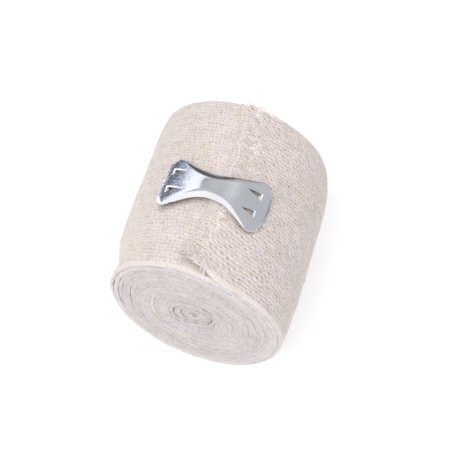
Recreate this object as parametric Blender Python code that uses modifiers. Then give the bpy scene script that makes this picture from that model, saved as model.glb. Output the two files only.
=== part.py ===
"""Crepe bandage roll, its free end held by one stamped aluminium clip.

The roll lies on its side on a small flat spot, with its axis along Y. The end face
that shows the turns looks toward -Y and the free end of the cloth lies on top.
From -Y the cloth runs clockwise from its free end and spirals inward to the core.
"""
import bmesh
import bpy
from math import cos, exp, pi, radians, sin, sqrt
from mathutils import Vector

# Driving sizes of the roll, in metres
WIDTH = 0.050  # width of the cloth, which is the length of the roll
START_RADIUS = 0.0251  # outside of the cloth at its free end
CLOTH = 0.00115  # one thickness of the crepe as it is wound
MAIN_TURN = 2 * CLOTH  # step of the spiral that shows as main turns
TURNS = 10  # main turns from the outside to the core
TAPER = 0.016  # share by which the far end is wound larger than the near end
ARC_RADIUS = 0.0246  # radius on which lengths along the top are measured
FLAT_DEPTH = 0.00045  # how far the roll is pressed flat where it lies

# Height of the roll's axis, which runs along Y over the origin
AXIS_Z = (START_RADIUS - CLOTH / 2) * (1 + TAPER / 2) - FLAT_DEPTH

# The ends are pushed askew in winding: slope of both end planes along X and Z
END_SLOPE_X = -0.077
END_SLOPE_Z = 0.018

# Folded hem at the free end: its folded edge, as (along the width, along the arc)
FOLD_LINE = (
    (-0.0250, -0.0050),
    (-0.0210, -0.0039),
    (-0.0155, -0.0026),
    (-0.0100, -0.0018),
    (-0.0040, -0.0009),
    (0.0045, -0.0002),
    (0.0175, -0.0003),
    (0.0235, -0.0019),
)
HEM_WIDTH = 0.0050
HEM_LIFT = 0.00040  # how far the doubled hem stands out of the spiral
HEM_SLOPE = 0.0012  # length along the arc over which either side of the hem rounds off
FOLD_DROP = 0.0005  # how far the folded edge itself is rounded down
TAIL_LIFT = 0.00025  # how far the last stretch of the cloth lies loose
TAIL_LOOSE_ANGLE = radians(34)
TAIL_DRAWN_BACK = 0.0034  # how far the near corner of the free end is pulled in
TAIL_DRAWN_ANGLE = radians(30)

# Outer edge that flares on the left of the near end
FLARE = 0.0015
FLARE_ANGLE = radians(166)
FLARE_SPREAD = radians(19)
FLARE_WIDTH = 0.0022

# Form of the end faces
GROOVE_DEPTH = 0.0012
SHOULDER_DEPTH = 0.0001
SHOULDER_SHARE = 0.24  # place of a shoulder across one main turn
RIM_ROUND = 0.00035
CORE_RADIUS = 0.0075
CORE_RECESS = 0.0011

# Soft waves of the outside: height, waves round the roll, radians a metre along it, phase
OUTER_WAVES = (
    (0.00012, 3, 95.0, 1.1),
    (0.00009, 5, -40.0, 2.3),
)

# Steps of the mesh
ANGLE_STEPS = 46
HEM_STEPS = (0.0, 0.0005, 0.0013, 0.0030, 0.0045, 0.0053, 0.0066)
SIDE_STEPS = (0.0, 0.0006, 0.0018, 0.0034, 0.0065, 0.0125, 0.0200,
              0.0300, 0.0375, 0.0435, 0.0470, 0.0494, 0.0500)

# Driving sizes of the clip, in metres
CLIP_LENGTH = 0.0292
CLIP_END_WIDTH = 0.0141
CLIP_WAIST = 0.0066
CLIP_THICKNESS = 0.0004
CLIP_CORNER = 0.0031
CLIP_END_BULGE = 0.0005
CLIP_WAIST_POWER = 1.6
CLIP_ARC = -0.0018  # middle of the clip along the arc, from the top
CLIP_Y = -0.0018  # middle of the clip along the roll
CLIP_TILT = radians(-4.8)
CLIP_LEFT_RADIUS = 0.02505  # middle of the sheet at the left end
CLIP_RIGHT_RADIUS = 0.02610  # middle of the sheet at the right end
CLIP_ARCH = 0.00165  # how far the waist stands out between the ends
EDGE_WIDTH = 0.0019  # band of the long edges that is rolled down
EDGE_DROP_WAIST = 0.00075
EDGE_DROP_END = 0.00022
CLIP_STATIONS = 30

# Teeth of the clip, struck out of the sheet and bent into the cloth
SLOT_OUTER = 0.0117  # wide end of a slot, from the middle of the clip
SLOT_INNER = 0.0070  # pointed end of a slot
SLOT_WIDTH = 0.0016
SLOT_SPACING = 0.0052
SLOT_OFFSET = 0.0004
TOOTH_LENGTH = 0.0031
TOOTH_ANGLE = radians(62)
TOOTH_ROOT = 0.00144
TOOTH_TIP = 0.00025
TOOTH_CLEARANCE = 0.0003

# Colours, as linear values
CLOTH_COLOUR = (0.760, 0.680, 0.630, 1.0)
METAL_COLOUR = (0.640, 0.650, 0.690, 1.0)

NEAR = -1
FAR = 1


def clear_scene():
    """Remove every object and collection of the file."""
    for item in list(bpy.data.objects):
        bpy.data.objects.remove(item, do_unlink=True)
    for group in list(bpy.data.collections):
        bpy.data.collections.remove(group)


def new_collection(name):
    """Add a collection to the scene."""
    group = bpy.data.collections.new(name)
    bpy.context.scene.collection.children.link(group)
    return group


def new_material(name, colour, roughness, metallic):
    """Make a Principled material."""
    material = bpy.data.materials.new(name)
    material.use_nodes = True
    shader = material.node_tree.nodes["Principled BSDF"]
    shader.inputs["Base Color"].default_value = colour
    shader.inputs["Roughness"].default_value = roughness
    shader.inputs["Metallic"].default_value = metallic
    return material


def mesh_object(name, mesh_maker, group, material=None):
    """Turn a bmesh into an object with outward faces."""
    bmesh.ops.recalc_face_normals(mesh_maker, faces=mesh_maker.faces)
    if mesh_maker.calc_volume(signed=True) < 0:
        bmesh.ops.reverse_faces(mesh_maker, faces=mesh_maker.faces)
    mesh = bpy.data.meshes.new(name)
    mesh_maker.to_mesh(mesh)
    mesh_maker.free()
    if material is not None:
        mesh.materials.append(material)
    item = bpy.data.objects.new(name, mesh)
    group.objects.link(item)
    return item


def make_guide(item):
    """Mark a cutter or a tool body as not part of the model."""
    item.hide_render = True
    item.display_type = "WIRE"


def smooth_step(value):
    """Rise softly from 0 to 1 as the value does."""
    value = min(1.0, max(0.0, value))
    return value * value * (3 - 2 * value)


def fold_arc(y):
    """Place of the folded edge along the arc, at a place along the width."""
    first = FOLD_LINE[0]
    if y <= first[0]:
        return first[1]
    for (y0, arc0), (y1, arc1) in zip(FOLD_LINE, FOLD_LINE[1:]):
        if y <= y1:
            return arc0 + (arc1 - arc0) * (y - y0) / (y1 - y0)
    return FOLD_LINE[-1][1]


def polar_angle(wound, y):
    """Angle from +X toward +Z of a point wound this far from the free end."""
    return pi / 2 - fold_arc(y) / ARC_RADIUS - wound


def spiral_radius(wound):
    """Radius of the spiral: one cloth in the first turn, main turns after it."""
    first_turn = min(wound, 2 * pi)
    rest = wound - first_turn
    return START_RADIUS - (CLOTH * first_turn + MAIN_TURN * rest) / (2 * pi)


def taper(y):
    """Share by which the winding is larger at this place along the roll."""
    return 1 + TAPER * (y / WIDTH + 0.5)


def end_plane(end, x, z):
    """Place along the axis of the near or far end plane."""
    return end * WIDTH / 2 + END_SLOPE_X * x + END_SLOPE_Z * z


def surface_relief(wound, y, from_near):
    """How far the outside stands out of the plain spiral."""
    arc = wound * ARC_RADIUS
    fold_round = smooth_step(arc / HEM_SLOPE)
    hem_end = 1 - smooth_step((arc - HEM_WIDTH) / HEM_SLOPE + 0.5)
    lift = HEM_LIFT * hem_end * fold_round - FOLD_DROP * (1 - fold_round)
    lift += TAIL_LIFT * exp(-(wound / TAIL_LOOSE_ANGLE) ** 2)
    away = (polar_angle(wound, y) % (2 * pi) - FLARE_ANGLE) / FLARE_SPREAD
    lift += FLARE * exp(-away ** 2) * exp(-(from_near / FLARE_WIDTH) ** 2)
    for height, around, along, phase in OUTER_WAVES:
        lift += height * sin(around * wound + along * y + phase)
    return lift


def tail_draw(wound):
    """How far the near edge of the cloth is pulled in close to the free end."""
    if wound >= TAIL_DRAWN_ANGLE:
        return 0.0
    return TAIL_DRAWN_BACK * (1 - wound / TAIL_DRAWN_ANGLE) ** 1.25


def core_recess(radius):
    """How far the loose core sinks below the end face."""
    return CORE_RECESS * (1 - smooth_step(radius / CORE_RADIUS))


def face_point(wound, radius, end, depth):
    """A point of an end face, this deep below the end plane."""
    angle = polar_angle(wound, end * WIDTH / 2)
    radius *= taper(end * WIDTH / 2)
    x = radius * cos(angle)
    z = radius * sin(angle)
    return Vector((x, end_plane(end, x, z) - end * depth, z))


def face_rows(wound, end):
    """Rim or groove, outer shoulder and inner shoulder at one wound angle."""
    outer = spiral_radius(wound)
    inner = spiral_radius(wound + 2 * pi)
    drawn = tail_draw(wound) if end == NEAR else 0.0
    shoulder_depth = SHOULDER_DEPTH + core_recess(outer)
    share = SHOULDER_SHARE
    if wound < 2 * pi:
        from_near = 0.0 if end == NEAR else WIDTH
        outer += surface_relief(wound, end * WIDTH / 2, from_near) - RIM_ROUND
        edge_depth = SHOULDER_DEPTH + RIM_ROUND + drawn
        shoulder_depth += drawn
    else:
        under_tail = tail_draw(wound - 2 * pi) if end == NEAR else 0.0
        edge_depth = GROOVE_DEPTH + core_recess(outer) + under_tail
        share *= 1 - 0.6 * under_tail / TAIL_DRAWN_BACK
    step = inner - outer
    return (
        face_point(wound, outer, end, edge_depth),
        face_point(wound, outer + share * step, end, shoulder_depth),
        face_point(wound, outer + (1 - SHOULDER_SHARE) * step, end, shoulder_depth),
    )


def side_point(wound, near_y, far_y, step):
    """A point of the outside between its near and far edges."""
    share = step / WIDTH
    y = near_y + (far_y - near_y) * share
    radius = (spiral_radius(wound) + surface_relief(wound, y, step)) * taper(y)
    angle = polar_angle(wound, y)
    return Vector((radius * cos(angle), y, radius * sin(angle)))


def turn_angles():
    """Wound angles of one turn, closer together over the hem."""
    hem = [arc / ARC_RADIUS for arc in HEM_STEPS]
    rest = [hem[-1] + (2 * pi - hem[-1]) * step / ANGLE_STEPS
            for step in range(1, ANGLE_STEPS + 1)]
    return hem + rest[:-1]


def build_roll(group, material):
    """Loft the whole roll as one body along its spiral."""
    angles = turn_angles()
    per_turn = len(angles)
    wounds = [2 * pi * turn + angle for turn in range(TURNS) for angle in angles]
    wounds.append(2 * pi * TURNS)
    last_strip = (TURNS - 1) * per_turn
    maker = bmesh.new()

    def add(point):
        """Lift a point to the axis and press it flat where the roll lies."""
        return maker.verts.new((point.x, point.y, max(0.0, point.z + AXIS_Z)))

    rows = {}
    for end in (NEAR, FAR):
        points = [face_rows(wound, end) for wound in wounds]
        edge = [add(row[0]) for row in points]
        outer = [add(row[1]) for row in points[:last_strip + 1]]
        inner = [add(row[2]) for row in points[:last_strip + 1]]
        rows[end] = (edge, outer, inner)
        for at in range(last_strip):
            lines = (edge[at], outer[at], inner[at], edge[at + per_turn])
            after = (edge[at + 1], outer[at + 1], inner[at + 1], edge[at + 1 + per_turn])
            for line in range(3):
                maker.faces.new((lines[line], after[line], after[line + 1], lines[line + 1]))
        core = face_point(wounds[-1], 0.0, end, CORE_RECESS + 0.5 * GROOVE_DEPTH)
        middle = add(core)
        hub = edge[last_strip:] + [inner[last_strip], outer[last_strip]]
        for one, other in zip(hub, hub[1:] + hub[:1]):
            maker.faces.new((one, other, middle))

    near_edge = rows[NEAR][0]
    far_edge = rows[FAR][0]
    columns = []
    for at in range(per_turn + 1):
        near_y = near_edge[at].co.y
        far_y = far_edge[at].co.y
        between = [add(side_point(wounds[at], near_y, far_y, step))
                   for step in SIDE_STEPS[1:-1]]
        columns.append([near_edge[at]] + between + [far_edge[at]])
    for column, after in zip(columns, columns[1:]):
        for line in range(len(column) - 1):
            maker.faces.new((column[line], column[line + 1], after[line + 1], after[line]))

    tail, under = columns[0], columns[-1]
    last = len(tail) - 1
    for line in range(1, last - 1):
        maker.faces.new((tail[line], tail[line + 1], under[line + 1], under[line]))
    near_outer, near_inner = rows[NEAR][1][0], rows[NEAR][2][0]
    far_outer, far_inner = rows[FAR][1][0], rows[FAR][2][0]
    maker.faces.new((tail[0], tail[1], under[1], under[0], near_inner, near_outer))
    maker.faces.new((tail[last - 1], tail[last], far_outer, far_inner,
                     under[last], under[last - 1]))
    roll = mesh_object("bandage_roll", maker, group, material)
    roll.data.shade_smooth()
    roll.data.set_sharp_from_angle(angle=radians(48))
    return roll


def clip_point(along, across, height=0.0):
    """Lay a point of the flat clip on its curve over the roll."""
    arc = CLIP_ARC + along * cos(CLIP_TILT) - across * sin(CLIP_TILT)
    y = CLIP_Y + along * sin(CLIP_TILT) + across * cos(CLIP_TILT)
    share = along / (CLIP_LENGTH / 2)
    middle = (CLIP_LEFT_RADIUS + CLIP_RIGHT_RADIUS) / 2
    slope = (CLIP_RIGHT_RADIUS - CLIP_LEFT_RADIUS) / 2
    radius = middle + slope * share + CLIP_ARCH * (1 - share ** 2) + height
    angle = pi / 2 - arc / ARC_RADIUS
    return Vector((radius * cos(angle), y, AXIS_Z + radius * sin(angle)))


def clip_half_width(along):
    """Half the width of the clip at a place along it."""
    corner_start = CLIP_LENGTH / 2 - CLIP_CORNER - CLIP_END_BULGE
    distance = abs(along)
    if distance > corner_start:
        reach = min(1.0, (distance - corner_start) / CLIP_CORNER)
        return CLIP_END_WIDTH / 2 - CLIP_CORNER * (1 - sqrt(1 - reach ** 2))
    share = (distance / corner_start) ** CLIP_WAIST_POWER
    return (CLIP_WAIST + (CLIP_END_WIDTH - CLIP_WAIST) * share) / 2


def edge_drop(along, from_edge):
    """How far the rolled edge lies below the middle of the sheet."""
    share = smooth_step(abs(along) / (0.42 * CLIP_LENGTH))
    drop = EDGE_DROP_WAIST + (EDGE_DROP_END - EDGE_DROP_WAIST) * share
    width = EDGE_WIDTH * (1 - 0.5 * share)
    return drop * max(0.0, 1 - from_edge / width) ** 1.8


def build_clip_sheet(group, material):
    """Make the bow-tie sheet with rolled edges, as an open surface with Solidify."""
    reach = CLIP_LENGTH / 2 - CLIP_END_BULGE
    stations = [-reach * cos(pi * step / CLIP_STATIONS) for step in range(CLIP_STATIONS + 1)]
    stations = [0.5 * place + 0.5 * reach * (2 * step / CLIP_STATIONS - 1)
                for step, place in enumerate(stations)]
    maker = bmesh.new()
    rows = []
    for along in stations:
        half = clip_half_width(along * 0.999)
        inset = (0.0, 0.24 * EDGE_WIDTH, 0.53 * EDGE_WIDTH, EDGE_WIDTH)
        side = [half - min(step, half * 0.9) for step in inset]
        across_list = side + [0.4 * side[-1]]
        across_list = across_list + [0.0] + [-across for across in reversed(across_list)]
        row = []
        for across in across_list:
            end_share = abs(along) / reach
            bulge = CLIP_END_BULGE * (1 - (across / half) ** 2) * smooth_step(6 * end_share - 5)
            place = along + (bulge if along > 0 else -bulge)
            from_edge = min(half - abs(across), 1.2 * (reach - abs(along)) + 0.00002)
            row.append(maker.verts.new(clip_point(place, across, -edge_drop(place, from_edge))))
        rows.append(row)
    for row, after in zip(rows, rows[1:]):
        for at in range(len(row) - 1):
            maker.faces.new((row[at], row[at + 1], after[at + 1], after[at]))
    sheet = mesh_object("clip", maker, group, material)
    shell = sheet.modifiers.new("thickness", "SOLIDIFY")
    shell.thickness = CLIP_THICKNESS
    shell.offset = 0.0
    shell.use_even_offset = True
    return sheet


def prism(name, corners, group):
    """Make a closed body from two matching rings of corners."""
    maker = bmesh.new()
    rings = [[maker.verts.new(corner) for corner in ring] for ring in corners]
    low, high = rings
    maker.faces.new(low)
    maker.faces.new(high)
    for at in range(len(low)):
        after = (at + 1) % len(low)
        maker.faces.new((low[at], low[after], high[after], high[at]))
    item = mesh_object(name, maker, group)
    make_guide(item)
    return item


def build_slot(name, side, centre, group):
    """Triangular slot, wide at its outer end and pointed toward the waist."""
    outline = (
        (side * SLOT_OUTER, centre + SLOT_WIDTH / 2),
        (side * SLOT_OUTER, centre - SLOT_WIDTH / 2),
        (side * SLOT_INNER, centre),
    )
    depth = 4 * CLIP_THICKNESS
    rings = [[clip_point(along, across, height) for along, across in outline]
             for height in (-depth, depth)]
    return prism(name, rings, group)


def build_tooth(name, side, centre, grow, group):
    """Pointed tongue that hangs from the wide end of a slot, leaning inward."""
    root_half = TOOTH_ROOT / 2 + grow
    tip_half = TOOTH_TIP / 2 + grow
    start = SLOT_OUTER + CLIP_THICKNESS * 0.6
    length = TOOTH_LENGTH + grow
    lean = cos(TOOTH_ANGLE)
    fall = sin(TOOTH_ANGLE)
    half = CLIP_THICKNESS / 2 + grow
    rings = []
    for offset in (-half, half):
        ring = []
        corners = ((0.0, root_half), (0.0, -root_half), (length, -tip_half), (length, tip_half))
        for run, width in corners:
            along = start - run * lean + offset * fall
            height = -run * fall - offset * lean
            ring.append(clip_point(side * along, centre + width, height))
        rings.append(ring)
    return prism(name, rings, group)


def add_boolean(item, tool, operation):
    """Cut or join with the exact solver."""
    modifier = item.modifiers.new(tool.name, "BOOLEAN")
    modifier.operation = operation
    modifier.object = tool
    modifier.solver = "EXACT"


def build_clip(roll, group, guides, material):
    """Build the clip with its four teeth, and the room for them in the cloth."""
    clip = build_clip_sheet(group, material)
    places = [(side, SLOT_OFFSET + row * SLOT_SPACING / 2) for side in (-1, 1) for row in (-1, 1)]
    teeth = []
    for number, (side, centre) in enumerate(places, 1):
        slot = build_slot(f"slot_{number}", side, centre, guides)
        add_boolean(clip, slot, "DIFFERENCE")
        teeth.append(build_tooth(f"tooth_{number}", side, centre, 0.0, guides))
        pocket = build_tooth(f"pocket_{number}", side, centre, TOOTH_CLEARANCE, guides)
        add_boolean(roll, pocket, "DIFFERENCE")
    for tooth in teeth:
        add_boolean(clip, tooth, "UNION")
    return clip


def main():
    """Build the roll and its clip."""
    clear_scene()
    model = new_collection("crepe_bandage_roll")
    guides = new_collection("cutters")
    cloth = new_material("crepe_cloth", CLOTH_COLOUR, 0.95, 0.0)
    metal = new_material("stamped_aluminium", METAL_COLOUR, 0.32, 1.0)
    roll = build_roll(model, cloth)
    build_clip(roll, model, guides, metal)


main()
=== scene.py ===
"""Looks of a crepe bandage roll: wound cloth with its weave, frayed hem and stamped clip."""
import bpy
import numpy as np
from math import cos, pi, radians, sin, sqrt
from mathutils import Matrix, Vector


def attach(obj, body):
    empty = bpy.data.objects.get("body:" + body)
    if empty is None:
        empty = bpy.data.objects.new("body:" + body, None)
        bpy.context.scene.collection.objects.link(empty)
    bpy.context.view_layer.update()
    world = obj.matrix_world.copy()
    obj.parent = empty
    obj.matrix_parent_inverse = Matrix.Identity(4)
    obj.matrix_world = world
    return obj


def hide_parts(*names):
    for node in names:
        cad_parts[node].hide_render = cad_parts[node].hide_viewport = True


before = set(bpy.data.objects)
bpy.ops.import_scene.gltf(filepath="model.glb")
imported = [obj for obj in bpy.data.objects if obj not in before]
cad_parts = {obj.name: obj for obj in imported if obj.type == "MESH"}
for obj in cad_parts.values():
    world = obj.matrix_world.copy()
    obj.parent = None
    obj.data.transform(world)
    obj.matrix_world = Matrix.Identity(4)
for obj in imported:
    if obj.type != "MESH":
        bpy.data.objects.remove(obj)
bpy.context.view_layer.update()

MM = 0.001

# Driving sizes of the roll
WIDTH = 50 * MM
START_RADIUS = 25.1 * MM  # outside of the cloth at its free end
CLOTH = 1.15 * MM  # one turn of the crepe
TURNS = 21.2
TAPER = 0.016  # share by which the far end is wound larger
ARC_RADIUS = 24.6 * MM  # radius on which lengths round the roll are measured
FLAT_DEPTH = 0.45 * MM  # how far the roll is pressed flat where it lies
AXIS_Z = (START_RADIUS - CLOTH / 2) * (1 + TAPER / 2) - FLAT_DEPTH
END_SLOPE_X = -0.077
END_SLOPE_Z = 0.018
TAIL_LIFT = 0.25 * MM  # the last stretch of the cloth lies loose
TAIL_LOOSE_ANGLE = radians(34)
TAIL_DRAWN_BACK = 4.1 * MM  # the near corner of the free end is pulled in
TAIL_DRAWN_ANGLE = radians(30)
FLARE = 0.55 * MM  # the near selvedge stands away on the left
FLARE_ANGLE = radians(172)
FLARE_SPREAD = radians(19)
FLARE_WIDTH = 2.2 * MM

# How far the roll bulges or draws in on its two sides, at distances from the near edge
SIDE_V = np.array([0.0, 3.0, 6.0, 9.0, 12.0, 20.0, 32.0, 40.0, 45.0, 48.0, 50.0]) * MM
LEFT_OUT = np.array([-1.3, -2.0, -1.8, -0.8, 0.1, 0.3, 0.3, 0.15, 0.0, -0.3, -0.5]) * MM
RIGHT_OUT = np.array([-1.3, -0.8, -0.3, -0.3, 0.1, 0.25, 0.0, -0.1, -0.5, -1.3, -1.8]) * MM
SIDE_STEPS = 201
SIDE_SOFTENING = 15  # steps over which a kink is rounded
BOTTOM_OUT = 0.7 * MM  # the near face is pushed out below
FAR_OUT = 0.35 * MM  # and the far edge stands out on top

# Folded edge of the free end: place along the width, place along the arc
FOLD_Y = np.array([-25.0, -21.0, -15.5, -10.0, -4.0, 4.5, 17.5, 23.5]) * MM
FOLD_ARC = np.array([-5.0, -3.9, -2.6, -1.8, -0.9, -0.2, -0.3, -1.9]) * MM
FOLD_FADE = 32 * MM  # the picks run straight across the cloth from here on

# Raw edge of the hem: distance from the near edge, place along the arc
RAW_V = np.array([0.0, 3.0, 5.8, 8.5, 11.1, 15.5, 22.3, 31.4, 32.8, 34.4, 36.9, 40.0,
                  41.4, 44.6, 46.8, 50.0]) * MM
RAW_ARC = np.array([0.9, 1.5, 0.9, 1.8, 1.8, 3.3, 4.4, 5.2, 4.3, 4.4, 5.4, 5.3,
                    4.5, 4.6, 3.8, 3.0]) * MM
HEM_START = 1.75 * MM  # the turn under the hem starts this far from the fold
HEM_TOP = 0.48 * MM  # top of the folded hem above the plain spiral
HEM_CLOTH = 0.78 * MM  # pressed thickness of the cloth in the hem
HEM_NOSE = 2.6 * MM  # length over which the folded edge is rounded down
NOSE_PROUD = 0.25 * MM
HEM_PICKS = 1080  # picks a metre
HEM_COLUMNS = 27
FOLD_SWELL = 0.60 * MM  # the turn below swells to meet the folded edge
FOLD_SWELL_REACH = 8 * MM
CORNER_CURL = 1.3 * MM  # the near corner of the free end stands up
CORNER_CURL_ARC = 4.4 * MM
CORNER_CURL_REACH = 3.8 * MM
CORNER_CURL_WIDTH = 2.2 * MM

# Soft waves of the outside: height, waves round the roll, radians a metre along it, phase
OUTER_WAVES = (
    (0.12 * MM, 3, 95.0, 1.1),
    (0.09 * MM, 5, -40.0, 2.3),
)

# The weave: ends across the width and picks along the length, each a metre
ENDS = 1060.0
END_DRIFT = 0.06  # the ends lie closer toward the far edge
END_HALF = 0.42  # half the width of a yarn, in spacings
PICKS_SLACK = 1290.0  # close together where the last turn lies slack
PICKS_TIGHT = 1010.0
PICK_HALF = 0.38
STEPS = 4  # mesh steps a thread
PICK_LEAN = -0.127  # lean of the picks on the left of the free end
PICKS_SUNK = 0.34  # how far the picks lie below the ends where the turn is slack
SWAY = 0.42  # how far an end rises over and sinks under the picks
SLACK_SWAY = 0.15
SLACK_SLANT = 0.75  # how far its knuckles slant across the end there
SLACK_BEADS = 0.04  # and how far it swells at each pick there
SLACK_LEAN = 0.05
RELIEF_SLACK = 0.16 * MM
RELIEF_TIGHT = 0.105 * MM
JITTER = 0.15  # how far the threads wander, in spacings
JITTER_LESS = 0.04  # and by how much less where the turn is slack

# The last turn is two pieces that run on under the free end, and the rest is a third
OUTER_SPLIT = 3.05
OUTER_END = 2 * pi + 0.75
OUTER_THICK = 0.99 * CLOTH
WINDING_THICK = 1.04 * CLOTH
WINDING_STEPS = 3.6  # mesh columns a pick
INNER_SHADE = -0.9  # painted shade: faces that lie hidden in the roll are painted as dark as pores, as the shadow in the gaps

# Section of a selvedge from the outer face to the inner one: share of the half thickness,
# and how far the cloth lies in from its edge there
RIM_SHARE = (1.0, 0.93, 0.70, 0.36, 0.0, -0.36, -0.70, -0.93, -1.0)
RIM_INSET = (0.85, 0.48, 0.20, 0.05, 0.0, 0.0, 0.02, 0.05, 0.10)
RIM_LOOP = 0.05 * MM  # how far the edge bulges at each pick
RIM_COOL = 5  # columns, from the inner face, that take the shade of the windings
WINDING_SHARE = (1.0, 0.90, 0.55, 0.0, -0.55, -0.90, -1.0)
WINDING_INSET = (0.05, 0.02, 0.005, 0.0, 0.005, 0.02, 0.05)
WINDING_LOOP = 0.03 * MM
WINDING_LEVEL = (0.79, 0.83, 0.85, 0.85, 0.85, 0.83, 0.79)  # colour levels of those columns, lower toward both faces of the sheet: painted shade in the gaps between turns
CORE_RADIUS = 8.5 * MM
CORE_RECESS = 0.6 * MM
CORE_SLOPE = 5 * MM  # radius over which the core sinks in

# Where the turns gape on the near face: angle, radius, half span in degrees, width in mm
GAPS = (
    (170, 23.4, 30, 0.045),
    (196, 22.2, 26, 0.04),
    (168, 21.0, 24, 0.035),
    (205, 19.9, 22, 0.06),
    (243, 22.6, 26, 0.07),
    (278, 21.4, 26, 0.06),
    (318, 20.6, 24, 0.05),
    (352, 19.4, 22, 0.06),
    (28, 19.5, 20, 0.05),
    (100, 8.6, 30, 0.03),
    (62, 7.6, 22, 0.035),
    (218, 9.4, 24, 0.03),
    (265, 9.5, 30, 0.05),
    (300, 10.8, 22, 0.05),
    (80, 12.2, 5, 0.10),
    (20, 5.2, 40, 0.015),
    (180, 6.0, 40, 0.015),
    (290, 5.6, 40, 0.05),
)
SMALL_GAPS = 34

# Loosened thread that wanders down the raw edge, in mm: arc, distance from the near edge, height
RAW_THREAD = (
    (2.6, 50.6, 0.2), (3.2, 49.1, 0.15), (4.1, 46.8, 0.1), (4.9, 44.6, 0.1), (4.6, 41.4, 0.15),
    (5.6, 40.0, 0.1), (5.1, 37.6, 0.1), (5.8, 36.0, 0.15), (4.5, 34.4, 0.1), (4.4, 32.8, 0.1),
    (5.4, 31.2, 0.1), (4.9, 29.0, 0.05), (5.3, 26.0, 0.05), (4.5, 22.3, 0.1), (4.3, 19.5, 0.1),
    (3.5, 17.4, 0.1), (3.6, 15.2, 0.1), (2.1, 12.6, 0.1), (2.5, 11.0, 0.15), (1.7, 9.2, 0.15),
    (2.1, 7.6, 0.1), (1.0, 6.2, 0.15), (1.6, 4.6, 0.2), (0.6, 3.4, 0.3),
)
RAW_STRANDS = ((0.0, 10, 30, 4), (-0.45, 6, 16, 14), (0.35, 5, 14, 14))  # aside, lengths, gap
EDGE_CURLS = 64
EDGE_LOOPS = 100
CORNER_ENDS = 16
BODY_FIBRES = 1500
FACE_FIBRES = 900

# Driving sizes of the clip
CLIP_LENGTH = 29.2 * MM
CLIP_END_WIDTH = 14.1 * MM
CLIP_WAIST = 6.6 * MM
CLIP_THICKNESS = 0.4 * MM
CLIP_CORNER = 3.1 * MM
CLIP_END_BULGE = 0.5 * MM
CLIP_WAIST_POWER = 1.6
CLIP_ARC = -1.8 * MM
CLIP_Y = -1.8 * MM
CLIP_TILT = radians(-4.8)
CLIP_LEFT_RADIUS = 25.05 * MM
CLIP_RIGHT_RADIUS = 26.10 * MM
CLIP_ARCH = 1.85 * MM
CLIP_BOW = 0.62 * MM  # bow of the clip's middle toward the far end
EDGE_WIDTH = 1.9 * MM
EDGE_DROP_WAIST = 0.75 * MM
EDGE_DROP_END = 0.22 * MM
LEFT_EDGE_DROP = 0.36 * MM  # the near edge is rolled down further on the left
CLIP_STATIONS = 96
CLIP_COLUMNS = 45
SLOT_BULGE = 0.35 * MM  # the cloth is pressed up into the slots
SLOTS = (  # outer corners and inner point of each slot, along and across the clip in mm
    ((-11.6, 4.35), (-11.5, 2.35), (-6.5, 3.45)),
    ((-11.7, -0.80), (-11.6, -2.90), (-6.0, -1.95)),
    ((11.8, 4.05), (11.9, 2.05), (7.9, 3.15)),
    ((11.8, -1.10), (11.9, -3.10), (8.2, -2.30)),
)
SLOT_CHAMFERS = (  # at the outer end, on the near side and on the far side of each slot
    (0.26, 0.03, 0.17),
    (0.26, 0.03, 0.17),
    (0.30, 0.03, 0.04),
    (0.30, 0.03, 0.04),
)
SLOT_CORNER = 0.12 * MM
TOOTH_START = 12.0 * MM
TOOTH_LENGTH = 3.1 * MM
TOOTH_ANGLE = radians(62)
TOOTH_BEND = 0.55 * MM
TOOTH_HALF = 0.68 * MM
TOOTH_HALF_THICK = 0.16 * MM

# Camera at the photograph's angle
CAMERA_AZIMUTH = radians(16.3)
CAMERA_ELEVATION = radians(61.3)
CAMERA_DISTANCE = 300 * MM
CAMERA_ASIDE = 1.26 * MM
CAMERA_ABOVE = 2.68 * MM
CAMERA_LENS = 89.4

# Colours of the cloth, each in a pore, on a yarn and on its top; the dark pore colour is painted shade, laid
# in the gaps of the weave and on faces in shadow
CREPE = ((0.17, 0.10, 0.06), (0.497, 0.427, 0.387), (0.67, 0.61, 0.60))
SELVEDGE = ((0.36, 0.27, 0.19), (0.475, 0.438, 0.452), (0.615, 0.584, 0.612))
# Loose yarn and fibres take lighter colours than the cloth: painted light on threads that stand off it
LOOSE_YARN = ((0.55, 0.46, 0.38), (0.69, 0.64, 0.61), (0.82, 0.785, 0.765))
STAIN = (0.955, 0.94, 0.925)
SELVEDGE_STAIN = (0.95, 0.91, 0.86)
WHITE = (1.0, 1.0, 1.0)


def smooth(value):
    """Rise softly from 0 to 1."""
    value = np.clip(value, 0.0, 1.0)
    return value * value * (3 - 2 * value)


def bell(along, across=0.0):
    """Fall softly from 1 with the distance."""
    return np.exp(-(along ** 2 + across ** 2))


def ripple(a, b, seed, size_a, size_b=1.0, terms=7):
    """Smooth seeded noise over two coordinates, about 1 high, with its sizes in mm."""
    rng = np.random.default_rng(seed)
    total = 0.0
    for _ in range(terms):
        along, across = rng.normal(0, 1, 2)
        phase = rng.uniform(0, 2 * pi)
        total = total + np.sin(2.2 * along * a / (size_a * MM) + 2.2 * across * b / (size_b * MM) + phase)
    return total / sqrt(terms / 2)


def spiral_radius(wound):
    """Outer radius of the cloth at an angle wound from the free end."""
    return START_RADIUS - CLOTH * wound / (2 * pi)


def fold_arc(v):
    """Place of the folded edge along the arc, at a distance from the near edge."""
    return np.interp(v - WIDTH / 2, FOLD_Y, FOLD_ARC)


def raw_arc(v):
    """Place of the hem's raw edge along the arc."""
    return np.interp(v, RAW_V, RAW_ARC)


def softened(values):
    """A table over the width of the cloth, without its kinks."""
    fine = np.interp(np.linspace(0, WIDTH, SIDE_STEPS), SIDE_V, values)
    fine = np.pad(fine, SIDE_SOFTENING // 2, mode="edge")
    return np.convolve(fine, np.ones(SIDE_SOFTENING) / SIDE_SOFTENING, "valid")


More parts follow.
